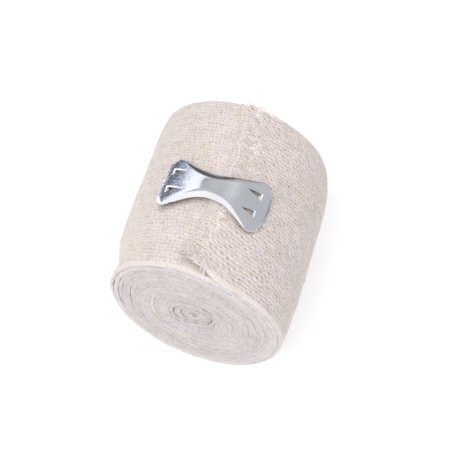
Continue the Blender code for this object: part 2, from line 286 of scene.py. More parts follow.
SIDES = (  # table, middle and half span in degrees at the near edge, and their change to the far one
    (softened(LEFT_OUT), 176, -10, 50, 0),
    (softened(RIGHT_OUT), 330, 32, 65, -20),
)


def side_out(angle, v):
    """How far the outside lies out of an even roll on its left and right."""
    share = np.clip(v / WIDTH, 0, 1)
    total = 0.0
    for table, middle, middle_change, half, half_change in SIDES:
        centre = np.radians(middle + middle_change * share)
        away = (angle - centre + pi) % (2 * pi) - pi
        away = np.clip(away / np.radians(half + half_change * share), -1, 1)
        out = np.interp(share, np.linspace(0, 1, SIDE_STEPS), table)
        total = total + out * np.cos(away * pi / 2) ** 2
    return total


def place_on_roll(arc, v, radius, draw=0.0):
    """Points from the arc from the top, the distance from the near edge, and the radius."""
    share = v / WIDTH
    angle = pi / 2 - arc / ARC_RADIUS
    grown = radius * (1 + TAPER * share + side_out(angle, v) / START_RADIUS)
    x = grown * np.cos(angle)
    z = grown * np.sin(angle)
    y = draw + share * (WIDTH - draw) - WIDTH / 2 + END_SLOPE_X * x + END_SLOPE_Z * z
    y = y - BOTTOM_OUT * smooth(-np.sin(angle)) * smooth(1 - 2 * share) * radius / START_RADIUS
    y = y + FAR_OUT * smooth(np.sin(angle)) * smooth(2 * share - 1) * radius / START_RADIUS
    z = np.maximum(z + AXIS_Z, 0.0)
    return np.stack(np.broadcast_arrays(x, y, z), axis=-1)


def tail_draw(wound):
    """How far the near edge is pulled in close to the free end."""
    return TAIL_DRAWN_BACK * (1 - smooth(wound / TAIL_DRAWN_ANGLE))


def flare_lift(arc, v):
    """Selvedge of the last turn that stands away on the left."""
    away = ((pi / 2 - arc / ARC_RADIUS) % (2 * pi) - FLARE_ANGLE) / FLARE_SPREAD
    return FLARE * (1 + 0.15 * ripple(arc, 0.0, 5, 4)) * bell(away) * bell(v / FLARE_WIDTH)


def corner_curl(arc, v):
    """How far the near corner of the free end stands up, at an arc from the fold."""
    return CORNER_CURL * bell((arc - CORNER_CURL_ARC) / CORNER_CURL_REACH, v / CORNER_CURL_WIDTH)


def outer_waves(wound, v):
    """Soft waves of the outside, at an angle wound from the fold."""
    return sum(height * np.sin(around * wound + along * (v - WIDTH / 2) + phase)
               for height, around, along, phase in OUTER_WAVES)


def from_nearest_top(place):
    """The arc from the nearest crossing of the top, for a place on any turn."""
    return (place + pi * ARC_RADIUS) % (2 * pi * ARC_RADIUS) - pi * ARC_RADIUS


def clip_on_roll(along, across):
    """Arc from the top, and place along the roll's axis, of a place on the flat clip."""
    arc = CLIP_ARC + along * cos(CLIP_TILT) - across * sin(CLIP_TILT)
    return arc, CLIP_Y + along * sin(CLIP_TILT) + across * cos(CLIP_TILT)


def clip_bow(along):
    """How far the clip bows toward the far end."""
    return CLIP_BOW * bell((along - 1.5 * MM) / (7 * MM))


def slot_lift(place, v):
    """Cloth that is pressed up into the slots of the clip."""
    lift = 0.0
    place = from_nearest_top(place)
    for high, low, point in SLOTS:
        arc, y = clip_on_roll((0.62 * high[0] + 0.38 * point[0]) * MM, (high[1] + low[1]) / 2 * MM)
        centre = y + WIDTH / 2 - END_SLOPE_X * ARC_RADIUS * sin(arc / ARC_RADIUS) - 0.4 * MM
        lift = lift + SLOT_BULGE * bell((place - arc) / (2.0 * MM), (v - centre) / (1.1 * MM))
    return lift


def clip_shadow_mask(place, v):
    """Mask of the shadow painted on the cloth under the clip, from 0 to 1."""
    place = from_nearest_top(place)
    # The painted shadow is moved toward the near side, and reaches further out beside the clip's near edge.
    y = v - WIDTH / 2 + END_SLOPE_X * ARC_RADIUS * np.sin(place / ARC_RADIUS) + 0.7 * MM
    along = (place - CLIP_ARC) * cos(CLIP_TILT) + (y - CLIP_Y) * sin(CLIP_TILT)
    across = (y - CLIP_Y) * cos(CLIP_TILT) - (place - CLIP_ARC) * sin(CLIP_TILT) - clip_bow(along)
    beside = clip_half_width(along) + (0.45 + 0.40 * (across < 0)) * MM - np.abs(across)
    beyond = CLIP_LENGTH / 2 + 0.3 * MM - np.abs(along)
    return smooth(beside / (1.0 * MM)) * smooth(beyond / (0.8 * MM))


def past_fold(place, v):
    """How far a place on the turn below lies past the folded edge on top of it."""
    return place - 2 * pi * ARC_RADIUS - fold_arc(v)


def outer_lift(arc, v, place):
    """How far the outside of the last turn stands out of the plain spiral.

    arc runs from the fold, and place from the top of the roll.
    """
    wound = arc / ARC_RADIUS
    under_hem = 1 - smooth((arc - (raw_arc(v) - fold_arc(v)) + 1.7 * MM) / (1.4 * MM))
    loose = TAIL_LIFT * bell(wound / TAIL_LOOSE_ANGLE)
    lift = loose * (1 - under_hem) + (HEM_TOP - HEM_CLOTH) * under_hem
    lift = lift + flare_lift(place, v) + slot_lift(place, v) + corner_curl(arc, v)
    lift = lift + FOLD_SWELL * bell(past_fold(place, v) / FOLD_SWELL_REACH)
    return lift + outer_waves(wound, v) + 0.05 * MM * ripple(arc, v, 11, 5, 4)


def yarn_dome(offset, half):
    """Rounded top of a yarn, and -1 beside it."""
    share = offset / half
    return np.where(np.abs(share) < 1, np.sqrt(np.clip(1 - share ** 2, 0, None)), -1.0)


def weave(u, v, slack, weft_up=0.38):
    """Height of a plain weave, from about -0.8 in its pores to 1 on its yarns.

    u counts picks and v counts ends. Where the cloth is slack the ends hide most of the picks.
    """
    best = np.full(np.broadcast(u, v).shape, -0.9)
    sway = SWAY + (SLACK_SWAY - SWAY) * slack
    beads = SLACK_BEADS * slack * np.cos(2 * pi * u)
    for shift in (-1, 0, 1):
        end = np.round(v) + shift
        offset = v - end + 0.05 * np.sin(pi * (u + end)) + SLACK_LEAN * slack * np.sin(2 * pi * u)
        knuckles = sway * np.cos(pi * (u + end + SLACK_SLANT * slack * offset))
        best = np.maximum(best, knuckles + beads + 0.6 * yarn_dome(offset, END_HALF))
        pick = np.round(u) + shift
        offset = u - pick + 0.05 * np.sin(pi * (v + pick + 1))
        rise = weft_up * np.cos(pi * (v + pick + 1)) - PICKS_SUNK * slack
        best = np.maximum(best, rise + 0.55 * yarn_dome(offset, PICK_HALF))
    return best


def end_places(ends):
    """Distances from the near edge of counted ends."""
    share = ends / (ENDS * WIDTH)
    return WIDTH * (share + END_DRIFT * share * (1 - share))


def put_in_scene(name, data):
    """A new object with this data."""
    item = bpy.data.objects.new(name, data)
    bpy.context.scene.collection.objects.link(item)
    return item


def add_layer(mesh, name, kind, field, values, domain="POINT"):
    """Keep a value for each point or face of a mesh, for its material."""
    layer = mesh.attributes.new(name, kind, domain)
    layer.data.foreach_set(field, np.asarray(values, np.float32).ravel())


def signed_volume(corners, faces):
    """Six times the volume that faces with the same number of corners enclose, with its sign."""
    total = 0.0
    for at in range(1, faces.shape[1] - 1):
        outward = np.cross(corners[faces[:, at]], corners[faces[:, at + 1]])
        total += np.einsum("ij,ij->", corners[faces[:, 0]], outward)
    return total


def add_mesh(name, corners, quads, relief, extra=()):
    """A shaded mesh object from corners, quads and larger faces, turned outward."""
    corners = np.asarray(corners, float).reshape(-1, 3)
    around = corners - corners.mean(axis=0)
    volume = signed_volume(around, quads)
    volume += sum(signed_volume(around, np.asarray(face)[None]) for face in extra)
    if volume < 0:
        quads = quads[:, ::-1]
        extra = [face[::-1] for face in extra]
    loops = np.concatenate([quads.ravel()] + [np.asarray(face) for face in extra])
    totals = np.array([4] * len(quads) + [len(face) for face in extra])
    starts = np.concatenate([[0], np.cumsum(totals)[:-1]])
    mesh = bpy.data.meshes.new(name)
    mesh.vertices.add(len(corners))
    mesh.vertices.foreach_set("co", corners.astype(np.float32).ravel())
    mesh.loops.add(len(loops))
    mesh.loops.foreach_set("vertex_index", loops.astype(np.int32))
    mesh.polygons.add(len(totals))
    mesh.polygons.foreach_set("loop_start", starts.astype(np.int32))
    mesh.update(calc_edges=True)
    mesh.shade_smooth()
    # The relief values are the colour levels of the material, which carry its painted shade and reflection
    add_layer(mesh, "relief", "FLOAT", "value", relief)
    return put_in_scene(name, mesh)


def ring_quads(rows, across):
    """Quads of a tube whose rows are closed rings."""
    ids = np.arange(rows * across).reshape(rows, across)
    after = np.roll(ids, -1, axis=1)
    quads = np.stack([ids[:-1], ids[1:], after[1:], after[:-1]], axis=-1).reshape(-1, 4)
    return quads, ids


def keep_counts(item, u, v, woven, sunk):
    """Keep the thread counts, how plainly the weave shows, and how far the picks are sunk."""
    add_layer(item.data, "threads", "FLOAT_VECTOR", "vector", np.stack([u, v, woven], axis=-1))
    add_layer(item.data, "picks_sunk", "FLOAT", "value", sunk)


def tube_object(name, rings, relief):
    """A closed body from a run of closed rings of points."""
    rows, across = rings.shape[:2]
    quads, ids = ring_quads(rows, across)
    return add_mesh(name, rings, quads, relief, [ids[0], ids[-1][::-1]])


def pick_columns(start, stop):
    """Arcs of every quarter pick between two wound angles, and the picks counted so far."""
    arc = np.linspace(0, OUTER_END * ARC_RADIUS, 4000)
    tight = smooth((arc - 55 * MM) / (60 * MM))
    density = PICKS_SLACK + (PICKS_TIGHT - PICKS_SLACK) * tight
    picks = np.concatenate([[0], np.cumsum(0.5 * (density[1:] + density[:-1]) * np.diff(arc))])
    first = int(np.ceil(np.interp(start * ARC_RADIUS, arc, picks) * STEPS))
    last = int(np.floor(np.interp(stop * ARC_RADIUS, arc, picks) * STEPS))
    counts = np.arange(first, last + 1) / STEPS
    return np.interp(counts, picks, arc)[:, None], counts[:, None]


def from_top(arcs, v):
    """Places from the top of the roll, of picks counted from the fold, which lean on the left."""
    hidden = smooth((arcs - 2 * pi * ARC_RADIUS - 2 * MM) / (13 * MM))
    lean = PICK_LEAN * smooth((arcs - 95 * MM) / (40 * MM)) * (1 - hidden)
    return arcs + fold_arc(v) * (1 - smooth(arcs / FOLD_FADE)) + lean * (v - WIDTH / 2)


def outer_points(arcs, v, height):
    """Points of the last turn at these arcs from the fold and distances from the near edge."""
    arc = from_top(arcs, v)
    radius = spiral_radius(arc / ARC_RADIUS) + outer_lift(arcs, v, arc) + height
    return place_on_roll(arc, v, radius, tail_draw(arcs / ARC_RADIUS))


def shadowed(place, v):
    """Painted shade on the last turn: how much darker it is under the free end and under the clip."""
    over = past_fold(place, v)
    from_edge = v - tail_draw(np.maximum(over, 0) / ARC_RADIUS)
    under_end_shade = smooth((over + 0.2 * MM) / (1.4 * MM)) * smooth((from_edge + 2.2 * MM) / (1.5 * MM))
    return 0.58 * under_end_shade + 0.7 * clip_shadow_mask(place, v)


def cool_rims(item, rows, across, rim, outer):
    """Give the inner half of both selvedges the second material, as on the windings."""
    column = np.arange((rows - 1) * across) % across
    far = column - rim - outer - (rim - RIM_COOL - 1)
    index = np.zeros(len(item.data.polygons), np.int32)
    index[:len(column)] = (column < RIM_COOL) | ((far >= 0) & (far < RIM_COOL))
    item.data.polygons.foreach_set("material_index", index)


def build_outer_turn(name, start, stop):
    """The last turn of cloth, with its weave in the outer face."""
    arcs, picks = pick_columns(start, stop)
    ends = np.arange(STEPS, int(ENDS * WIDTH * STEPS) - STEPS + 1)[None, :] / STEPS
    v_rows = end_places(ends)
    fade = smooth((v_rows - 0.4 * MM) / (1.0 * MM)) * smooth((WIDTH - v_rows - 0.4 * MM) / (1.0 * MM))
    slack = 1 - smooth((arcs - 62 * MM) / (55 * MM))
    jitter = JITTER - JITTER_LESS * slack
    u = picks + 0.20 * ripple(arcs, v_rows, 3, 5, 7) + jitter * ripple(arcs, v_rows, 13, 1.3, 1.2, 12)
    v = ends + 0.18 * ripple(arcs, v_rows, 4, 8, 5) + jitter * ripple(arcs, v_rows, 14, 1.5, 1.1, 12)
    relief = weave(u, v, slack) + 0.16 * ripple(arcs, v_rows, 6, 0.9, 0.8, 12)
    height = (RELIEF_TIGHT + (RELIEF_SLACK - RELIEF_TIGHT) * slack) * relief
    outer = outer_points(arcs, v_rows, height * fade)

    loop = RIM_LOOP * (np.cos(2 * pi * picks) + ripple(arcs, 0.0, 8, 0.9))
    near, far = [], []
    for share, inset in zip(RIM_SHARE, RIM_INSET):
        v_rim = inset * MM + loop * (1 - share ** 2)
        depth = -OUTER_THICK / 2 * (1 - share)
        near.append(outer_points(arcs, v_rim, depth))
        far.append(outer_points(arcs, WIDTH - v_rim, depth))
    inner = outer_points(arcs, np.linspace(WIDTH - 3 * MM, 3 * MM, 7)[None, :], -OUTER_THICK)
    rings = np.concatenate(near[::-1] + [outer] + far + [inner], axis=1)

    side = np.zeros((len(arcs), len(RIM_SHARE)))
    hidden = np.zeros(inner.shape[:2])
    rim_shade = 0.80 + 0.1 * np.cos(2 * pi * picks) + side
    face_shade = 0.78 + 0.10 * ripple(arcs, v_rows, 7, 2.2, 1.8, 12)
    # Painted shade: the face is darker under the free end and under the clip, and the hidden inner face is as
    # dark as pores
    face_shade = face_shade - shadowed(from_top(arcs, v_rows), v_rows)
    shades = np.concatenate([rim_shade, face_shade, rim_shade, hidden + INNER_SHADE], axis=1)
    counts = [np.concatenate([part[:, :1] + side, part, part[:, -1:] + side, hidden], axis=1)
              for part in (u, v)]
    woven = np.concatenate([side, fade + 0 * u, side, hidden], axis=1)
    item = tube_object(name, rings, shades)
    keep_counts(item, counts[0], counts[1], woven, PICKS_SUNK * slack + 0 * woven)
    cool_rims(item, *rings.shape[:2], len(RIM_SHARE), outer.shape[1])
    return item


def hem_points(arc, v, height):
    """Points on the hem, which lies on the first stretch of the last turn."""
    wound = np.maximum(arc - fold_arc(v), 0) / ARC_RADIUS
    height = height + outer_waves(wound, v) + corner_curl(wound * ARC_RADIUS, v)
    return place_on_roll(arc, v, spiral_radius(arc / ARC_RADIUS) + height, tail_draw(wound))


def close_ends(rings):
    """Round off the first and last ring toward their middles."""
    rows = []
    for ring, step in ((rings[0], rings[0] - rings[1]), (rings[-1], rings[-1] - rings[-2])):
        middle = ring.mean(axis=0)
        out = step.mean(axis=0)
        out = out / np.linalg.norm(out)
        rows.append([middle + (ring - middle) * scale + out * reach * MM
                     for scale, reach in ((0.93, 0.16), (0.74, 0.28), (0.40, 0.36))])
    return np.concatenate([np.array(rows[0][::-1]), rings, np.array(rows[1])])


def build_hem():
    """The free end, folded back on itself: a rounded nose and a raw edge on top."""
    ends = np.arange(2, int(ENDS * WIDTH * STEPS) - 1)[:, None] / STEPS
    v_rows = end_places(ends)
    fold = fold_arc(v_rows)
    rng = np.random.default_rng(21)
    cut = rng.normal(0, 0.22 * MM, int(ends.max()) + 3)[np.round(ends).astype(int)]
    raw = raw_arc(v_rows) + cut
    steps = np.linspace(0, 1, HEM_COLUMNS)[None, :]
    arc = raw + (fold + HEM_NOSE - NOSE_PROUD - raw) * steps
    loose = (1 - steps) ** 0.7
    wavy = v_rows + 0.30 * MM * loose * ripple(arc, v_rows, 31, 1.7, 3.0)
    u = (arc - fold) * HEM_PICKS + 0.3 * ripple(arc, v_rows, 32, 2, 3)
    counted = ends + 0.3 * loose * ripple(arc, v_rows, 33, 2.2, 2)
    relief = weave(u, counted, 0.3 + 0.7 * loose, 0.34 - 0.30 * loose)
    relief = relief + 0.2 * ripple(arc, v_rows, 34, 0.8, 0.8, 9)
    thinned = (HEM_TOP - TAIL_LIFT - 0.13 * MM) * (1 - smooth(steps / 0.45))
    brink = 0.12 * MM * np.clip(1 - steps / 0.06, 0, 1) ** 1.5
    top = hem_points(arc, wavy, HEM_TOP + 0.14 * MM * relief - thinned - brink)

    bottom = -1.02 * CLOTH
    inside = HEM_TOP - HEM_CLOTH
    bulge = 0.05 * MM * ripple(v_rows, 0.0, 35, 0.7)
    nose = [hem_points(fold + HEM_NOSE * (1 - sin(turn) ** 1.3) - NOSE_PROUD + bulge, v_rows,
                       bottom + (HEM_TOP - bottom) * cos(turn) ** 0.9)
            for turn in np.linspace(0, pi / 2, 9)[1:]]
    under = [hem_points(fold + place * MM, v_rows, height)
             for place, height in ((0.6, bottom), (1.9, bottom), (2.0, inside - 0.06 * MM))]
    floor_rows = [hem_points(fold + (raw - fold) * share, v_rows, inside - 0.05 * MM)
                  for share in (0.5, 0.8, 0.97)]
    rings = np.concatenate([top] + nose + under + floor_rows, axis=1)

    shown = HEM_COLUMNS + len(nose)
    # Painted shade: the underside and the rows under the raw edge are darker than the top
    shade = np.full(rings.shape[:2], -0.1)
    # A warm stain toward the far edge, and painted shadow under the clip
    stain_and_clip_shade = 0.16 * bell((v_rows - 43 * MM) / (6 * MM)) + 0.7 * clip_shadow_mask(arc, v_rows)
    shade[:, :HEM_COLUMNS] = 0.68 + 0.12 * ripple(arc, v_rows, 36, 1.6, 1.6, 9) - stain_and_clip_shade
    shade[:, HEM_COLUMNS:shown] = 0.69
    woven, picks, ends_there, slack = np.zeros((4,) + rings.shape[:2])
    woven[:, :shown] = 1
    picks[:, :shown] = np.concatenate([u, u[:, -1:] - 0.36 * np.arange(1, len(nose) + 1)], axis=1)
    ends_there[:, :shown] = ends
    ends_there[:, :HEM_COLUMNS] = counted
    slack[:, :HEM_COLUMNS] = 0.20 + 0.30 * loose
    shade, woven, picks, ends_there, slack = [
        np.concatenate([part[:1]] * 3 + [part] + [part[-1:]] * 3)
        for part in (shade, woven, picks, ends_there, slack)]
    item = tube_object("hem_flap", close_ends(rings), shade)
    keep_counts(item, picks, ends_there, woven, slack)
    return item


def gap_turns():
    """Wound angle, half span and width of each gap, on the nearest turn of the spiral."""
    rng = np.random.default_rng(44)
    listed = list(GAPS)
    for _ in range(SMALL_GAPS):
        listed.append((rng.uniform(0, 360), rng.uniform(5, 22.5), rng.uniform(8, 24),
                       rng.uniform(0.0, 0.035)))
    for angle, radius, span, width in listed:
        part = ((90 - angle) % 360) / 360
        turn = round((START_RADIUS - radius * MM) / CLOTH - part)
        yield 2 * pi * (turn + part), radians(span), width * MM


def winding_shift(wound):
    """How far the turns are pressed in by the gaps outside them, and how open each one is."""
    shift = np.zeros_like(wound)
    opened = np.zeros_like(wound)
    for place, span, width in gap_turns():
        turns_in = np.round((wound - place) / (2 * pi))
        away = (wound - place - 2 * pi * turns_in) / span
        window = np.where((np.abs(away) < 1) & (turns_in >= 0), np.cos(away * pi / 2) ** 2, 0)
        shift -= 0.42 * width * window * np.exp(-np.maximum(turns_in, 0) * CLOTH / (3.0 * MM))
        opened += np.where(turns_in == 0, window * width / (0.6 * MM), 0)
    return shift, np.clip(opened, 0, 1.6)


def build_windings():
    """All the turns inside the last one, as one sheet wound to the core."""
    column = 1 / (PICKS_TIGHT * WINDING_STEPS)
    wounds = [OUTER_END - 0.012]
    while wounds[-1] < 2 * pi * TURNS:
        wounds.append(wounds[-1] + column / max(spiral_radius(wounds[-1]), 1.2 * MM))
    wound = np.array(wounds)[:, None]
    picks = np.arange(len(wounds))[:, None] / WINDING_STEPS
    run = np.cumsum(np.full(len(wounds), column))[:, None]
    arc = wound * ARC_RADIUS
    turn = wound / (2 * pi)
    inside = np.clip(turn - 1, 0, None)
    radius = spiral_radius(wound)
    shift, opened = winding_shift(wound)
    loosened = smooth((9.5 * MM - radius) / (4 * MM))
    radius = radius + shift + (0.05 + 0.10 * loosened) * MM * ripple(run, 0.0, 51, 5)
    radius = radius + 0.92 * flare_lift(arc, 0.3 * MM) * np.exp(-inside / 1.3)
    from_fold = from_nearest_top(arc) + 3 * MM
    radius = radius + FOLD_SWELL * bell(from_fold / FOLD_SWELL_REACH) * np.exp(-inside / 3)

    settle = smooth((turn - 1.0) / 0.35)
    layer = 0.06 * MM * np.sin(5.1 * turn) + 0.04 * MM * np.sin(11.3 * turn + 1)
    wander = (0.05 + 0.14 * loosened) * MM * ripple(run, 0.0, 52, 7)
    fine = (0.05 + 0.04 * loosened) * MM * ripple(run, 0.0, 53, 0.5)
    recess = CORE_RECESS * smooth((CORE_RADIUS - radius) / CORE_SLOPE)
    proud = -0.15 * MM * (1 - smooth((turn - 2.0) / 0.9))
    near_edge = settle * (layer + wander + fine + proud + 0.30 * MM * opened) + recess
    far_edge = settle * (0.8 * layer - 0.9 * wander + fine) + recess

    def at(v, depth):
        """One line of points along the whole sheet."""
        waved = radius + outer_waves(wound, v) * np.exp(-inside / 2) - depth
        return place_on_roll(arc, v, np.maximum(waved, 0.05 * MM))

    rng = np.random.default_rng(55)
    near, far = [], []
    for share, inset in zip(WINDING_SHARE, WINDING_INSET):
        depth = WINDING_THICK / 2 * (1 - share)
        bulge = WINDING_LOOP * np.cos(2 * pi * picks) * (1 - share ** 2)
        v = inset * MM + bulge + rng.normal(0, 0.022 * MM, wound.shape)
        near.append(at(v + near_edge, depth))
        far.append(at(WIDTH - v - far_edge, depth))
    middle = 0.5 * WIDTH + 0 * wound
    rings = np.concatenate(near[::-1] + [at(middle, 0)] + far + [at(middle, WINDING_THICK)], axis=1)

    bump = 0.04 * np.cos(2 * pi * picks) + 0.08 * ripple(run, 0.0, 54, 0.6) + 0.08 * ripple(run, 0.0, 56, 5)
    # Painted shade in patches among the loose turns of the core
    frayed = smooth((7.5 * MM - radius) / (3 * MM)) * ripple(run, 0.0, 57, 1.1)
    bump = bump - 0.22 * np.clip(frayed, 0, None)
    level = np.array(WINDING_LEVEL)[None, :]
    deeper = 0.42 * smooth((turn - 1.7) / 1.3)
    # Painted shade: the rims are darker where the turns gape and among the loose turns of the core
    rim = level + bump - deeper - (11.0 * opened + 0.55 * loosened) * (1.05 - level)
    # Painted shade: the hidden faces of the sheet are as dark as pores
    side = np.full_like(wound, INNER_SHADE)
    return tube_object("bandage_windings", rings, np.concatenate([rim, side, rim[:, ::-1], side], axis=1))


def thread_object(name, paths, shade=0.9, sides=5):
    """Yarn ends and fibres: one mesh of thin closed tubes, from (path, radius) pairs."""
    corners, quads, caps = [], [], []
    count = 0
    turns = (np.arange(sides) * 2 * pi / sides)[None, :, None]
    for path, radius in paths:
        tangent = np.gradient(path, axis=0)
        tangent = tangent / np.maximum(np.linalg.norm(tangent, axis=1, keepdims=True), 1e-9)
        side = np.cross(tangent, np.array([0.31, 0.52, 0.79]))
        side = side / np.maximum(np.linalg.norm(side, axis=1, keepdims=True), 1e-9)
        other = np.cross(tangent, side)
        taper = np.full(len(path), radius)
        taper[-1] *= 0.35
        taper[0] *= 0.6
        round_it = np.cos(turns) * side[:, None, :] + np.sin(turns) * other[:, None, :]
        some, ids = ring_quads(len(path), sides)
        corners.append((path[:, None, :] + taper[:, None, None] * round_it).reshape(-1, 3))
        quads.append(some + count)
        caps += [ids[0] + count, ids[-1][::-1] + count]
        count += len(path) * sides
    return add_mesh(name, np.concatenate(corners), np.concatenate(quads), np.full(count, shade), caps)


def curve_through(points, count):
    """A soft curve through points, by repeated corner averaging."""
    at = np.linspace(0, len(points) - 1, count)
    path = np.stack([np.interp(at, np.arange(len(points)), column) for column in points.T], axis=1)
    for _ in range(max(2, count // len(points))):
        path[1:-1] = 0.25 * path[:-2] + 0.5 * path[1:-1] + 0.25 * path[2:]
    return path


def surface_height(arc, v):
    """Rough height of the outside over the plain spiral at a place right of the fold."""
    gone = arc - fold_arc(v)
    if gone < 0:
        return -CLOTH
    share = (raw_arc(v) - arc) / (raw_arc(v) - fold_arc(v))
    if share > 0:
        height = HEM_TOP - (HEM_TOP - TAIL_LIFT - 0.16 * MM) * (1 - smooth(share / 0.45))
    else:
        height = TAIL_LIFT * bell(gone / ARC_RADIUS / TAIL_LOOSE_ANGLE)
    return height + corner_curl(gone, v)


def on_cloth(points):
    """Places (arc, v, height above the cloth there) in mm, as points."""
    out = []
    for arc, v, height in points:
        arc, v = arc * MM, v * MM
        radius = spiral_radius(arc / ARC_RADIUS) + surface_height(arc, v) + height * MM
        out.append(place_on_roll(arc, v, radius, tail_draw(max(arc - fold_arc(v), 0) / ARC_RADIUS)))
    return np.array(out)


def yarn(points, count, radius):
    """A soft thread through places on the cloth, with its radius in mm."""
    return curve_through(on_cloth(points), count), radius * MM


def build_edge_threads():
    """Yarns that come loose along the raw edge."""
    rng = np.random.default_rng(61)
    paths = []
    for aside, shortest, longest, gap in RAW_STRANDS:
        strand = [(arc + aside, v, height - 0.04) for arc, v, height in RAW_THREAD]
        along = curve_through(on_cloth(strand), 220)
        start = 0
        while start < len(along) - 4:
            stop = min(start + int(rng.integers(shortest, longest)), len(along))
            part = along[start:stop] + rng.normal(0, 0.06 * MM, (1, 3))
            if len(part) > 3:
                paths.append((part, rng.uniform(0.06, 0.13) * MM))
            start = stop + int(rng.integers(0, gap))
    for v in np.arange(1.5, 49.5, 0.62):
        raw = raw_arc(v * MM) / MM
        length = rng.uniform(0.3, 1.1)
        side = rng.normal(0, 0.35)
        points = [(raw - 0.5, v, 0.0), (raw, v + 0.1 * side, 0.05),
                  (raw + 0.5 * length, v + 0.5 * side, -0.1 + rng.uniform(0, 0.25)),
                  (raw + length, v + side, rng.uniform(-0.05, 0.25))]
        paths.append(yarn(points, 9, rng.uniform(0.07, 0.13)))
    for _ in range(EDGE_CURLS):
        v = rng.uniform(1, 49)
        middle = raw_arc(v * MM) / MM + rng.normal(-0.5, 0.7)
        reach = rng.uniform(0.25, 0.60)
        turns = rng.uniform(0, 2 * pi) + np.linspace(0, rng.uniform(3.6, 5.6), 9)
        points = [(middle + reach * cos(turn), v + reach * sin(turn), 0.10) for turn in turns]
        paths.append(yarn(points, 14, rng.uniform(0.06, 0.10)))
    for _ in range(EDGE_LOOPS):
        v = rng.uniform(2, 48)
        start = raw_arc(v * MM) / MM - rng.uniform(0.6, 4.2)
        length = rng.uniform(1.2, 3.2)
        rise = rng.uniform(0.1, 0.35)
        side = rng.normal(0, 0.5)
        points = [(start, v, 0.0), (start + 0.33 * length, v + side, rise),
                  (start + 0.66 * length, v - 0.4 * side, rise), (start + length, v + 0.5 * side, 0.05)]
        paths.append(yarn(points, 13, rng.uniform(0.05, 0.10)))
    return thread_object("edge_threads", paths)


def build_rim_threads():
    """Ends of yarn that stand out past the far rim and hang at the near corner."""
    rng = np.random.default_rng(62)
    paths = []
    for arc in (-5.3, -0.4, 0.3, 2.9, 3.5, 4.1, 6.2, 7.0):
        lean = rng.normal(0, 0.35)
        for _ in range(6):
            reach = rng.uniform(0.25, 0.75)
            start = arc + rng.normal(0, 0.12)
            side = lean + rng.normal(0, 0.2)
            points = [(start, 48.9, -0.1), (start + 0.3 * side, 49.8, 0.1 * reach),
                      (start + 0.7 * side, 50.0 + 0.5 * reach, 0.45 * reach),
                      (start + side, 50.0 + 0.6 * reach, 0.8 * reach)]
            paths.append(yarn(points, 8, rng.uniform(0.09, 0.15)))
    for arc, lean in ((2.3, 0.6), (3.0, -0.2)):
        points = [(arc - 0.4, 2.2, 0.05), (arc, 1.0, 0.1), (arc + 0.5 * lean, 0.1, 0.0),
                  (arc + 1.4 * lean, -0.7, -0.5), (arc + 0.8 * lean, -1.2, -1.0)]
        paths.append(yarn(points, 14, 0.07))
    for _ in range(CORNER_ENDS):
        arc = rng.uniform(-0.6, 2.6)
        v = rng.uniform(0.2, 2.6)
        reach = rng.uniform(0.6, 1.7)
        turn = rng.uniform(-2.2, 0.6)
        bend = rng.normal(0, 0.5)
        height = rng.uniform(0.02, 0.16)
        points = [(arc + part * reach * cos(turn + bent * bend), v + part * reach * sin(turn + bent * bend),
                   lift * height)
                  for part, bent, lift in ((0, 0, 0), (0.4, 0, 1), (0.8, 1, 1), (1, 1.5, 0.4))]
        paths.append(yarn(points, 11, rng.uniform(0.06, 0.11)))
    return thread_object("rim_threads", paths)


def build_fuzz():
    """Short cotton fibres that stand off the outside and the near face."""
    rng = np.random.default_rng(63)
    paths = []
    steps = np.array([0, 0.35, 0.7, 1.0])
    for _ in range(BODY_FIBRES):
        arc = rng.uniform(-38, 116)
        v = rng.uniform(0.3, 49.7)
        length = rng.uniform(0.4, 1.5)
        turn = rng.uniform(0, 2 * pi)
        bend = rng.normal(0, 1.2)
        height = rng.uniform(0.08, 0.42)
        if arc < fold_arc(v * MM) / MM:
            arc += 2 * pi * ARC_RADIUS / MM
        heading = turn + steps * bend
        arcs = (arc + steps * length * np.cos(heading)) * MM
        vs = np.clip(v + steps * length * np.sin(heading), 0.1, 49.9) * MM
        gone = np.maximum(arcs - fold_arc(vs), 0)
        lift = np.where(gone < raw_arc(vs) - fold_arc(vs), HEM_TOP, outer_lift(gone, vs, arcs))
        lift = lift + np.array([-0.05, 0.8, 1.0, 0.75]) * height * MM
        path = place_on_roll(arcs, vs, spiral_radius(arcs / ARC_RADIUS) + lift, tail_draw(gone / ARC_RADIUS))
        paths.append((path, rng.uniform(0.010, 0.018) * MM))
    for _ in range(FACE_FIBRES):
        arc = rng.uniform(0, 2 * pi * ARC_RADIUS)
        radius = START_RADIUS * sqrt(rng.uniform(0.02, 0.98))
        length = rng.uniform(0.5, 2.2) * MM
        turn = rng.uniform(0, 2 * pi)
        bend = rng.normal(0, 1.3)
        off = rng.uniform(0.05, 0.30) * MM + CORE_RECESS * smooth((CORE_RADIUS - radius) / CORE_SLOPE)
        heading = turn + steps * bend
        arcs = arc + np.cos(heading) * steps * length * ARC_RADIUS / radius
        radii = np.clip(radius + np.sin(heading) * steps * length, 0.5 * MM, START_RADIUS - 0.6 * MM)
        path = place_on_roll(arcs, off - np.array([0, 0.22, 0.28, 0.12]) * MM, radii)
        paths.append((path, rng.uniform(0.015, 0.032) * MM))
    return thread_object("surface_fibres", paths, 1.0, 3)


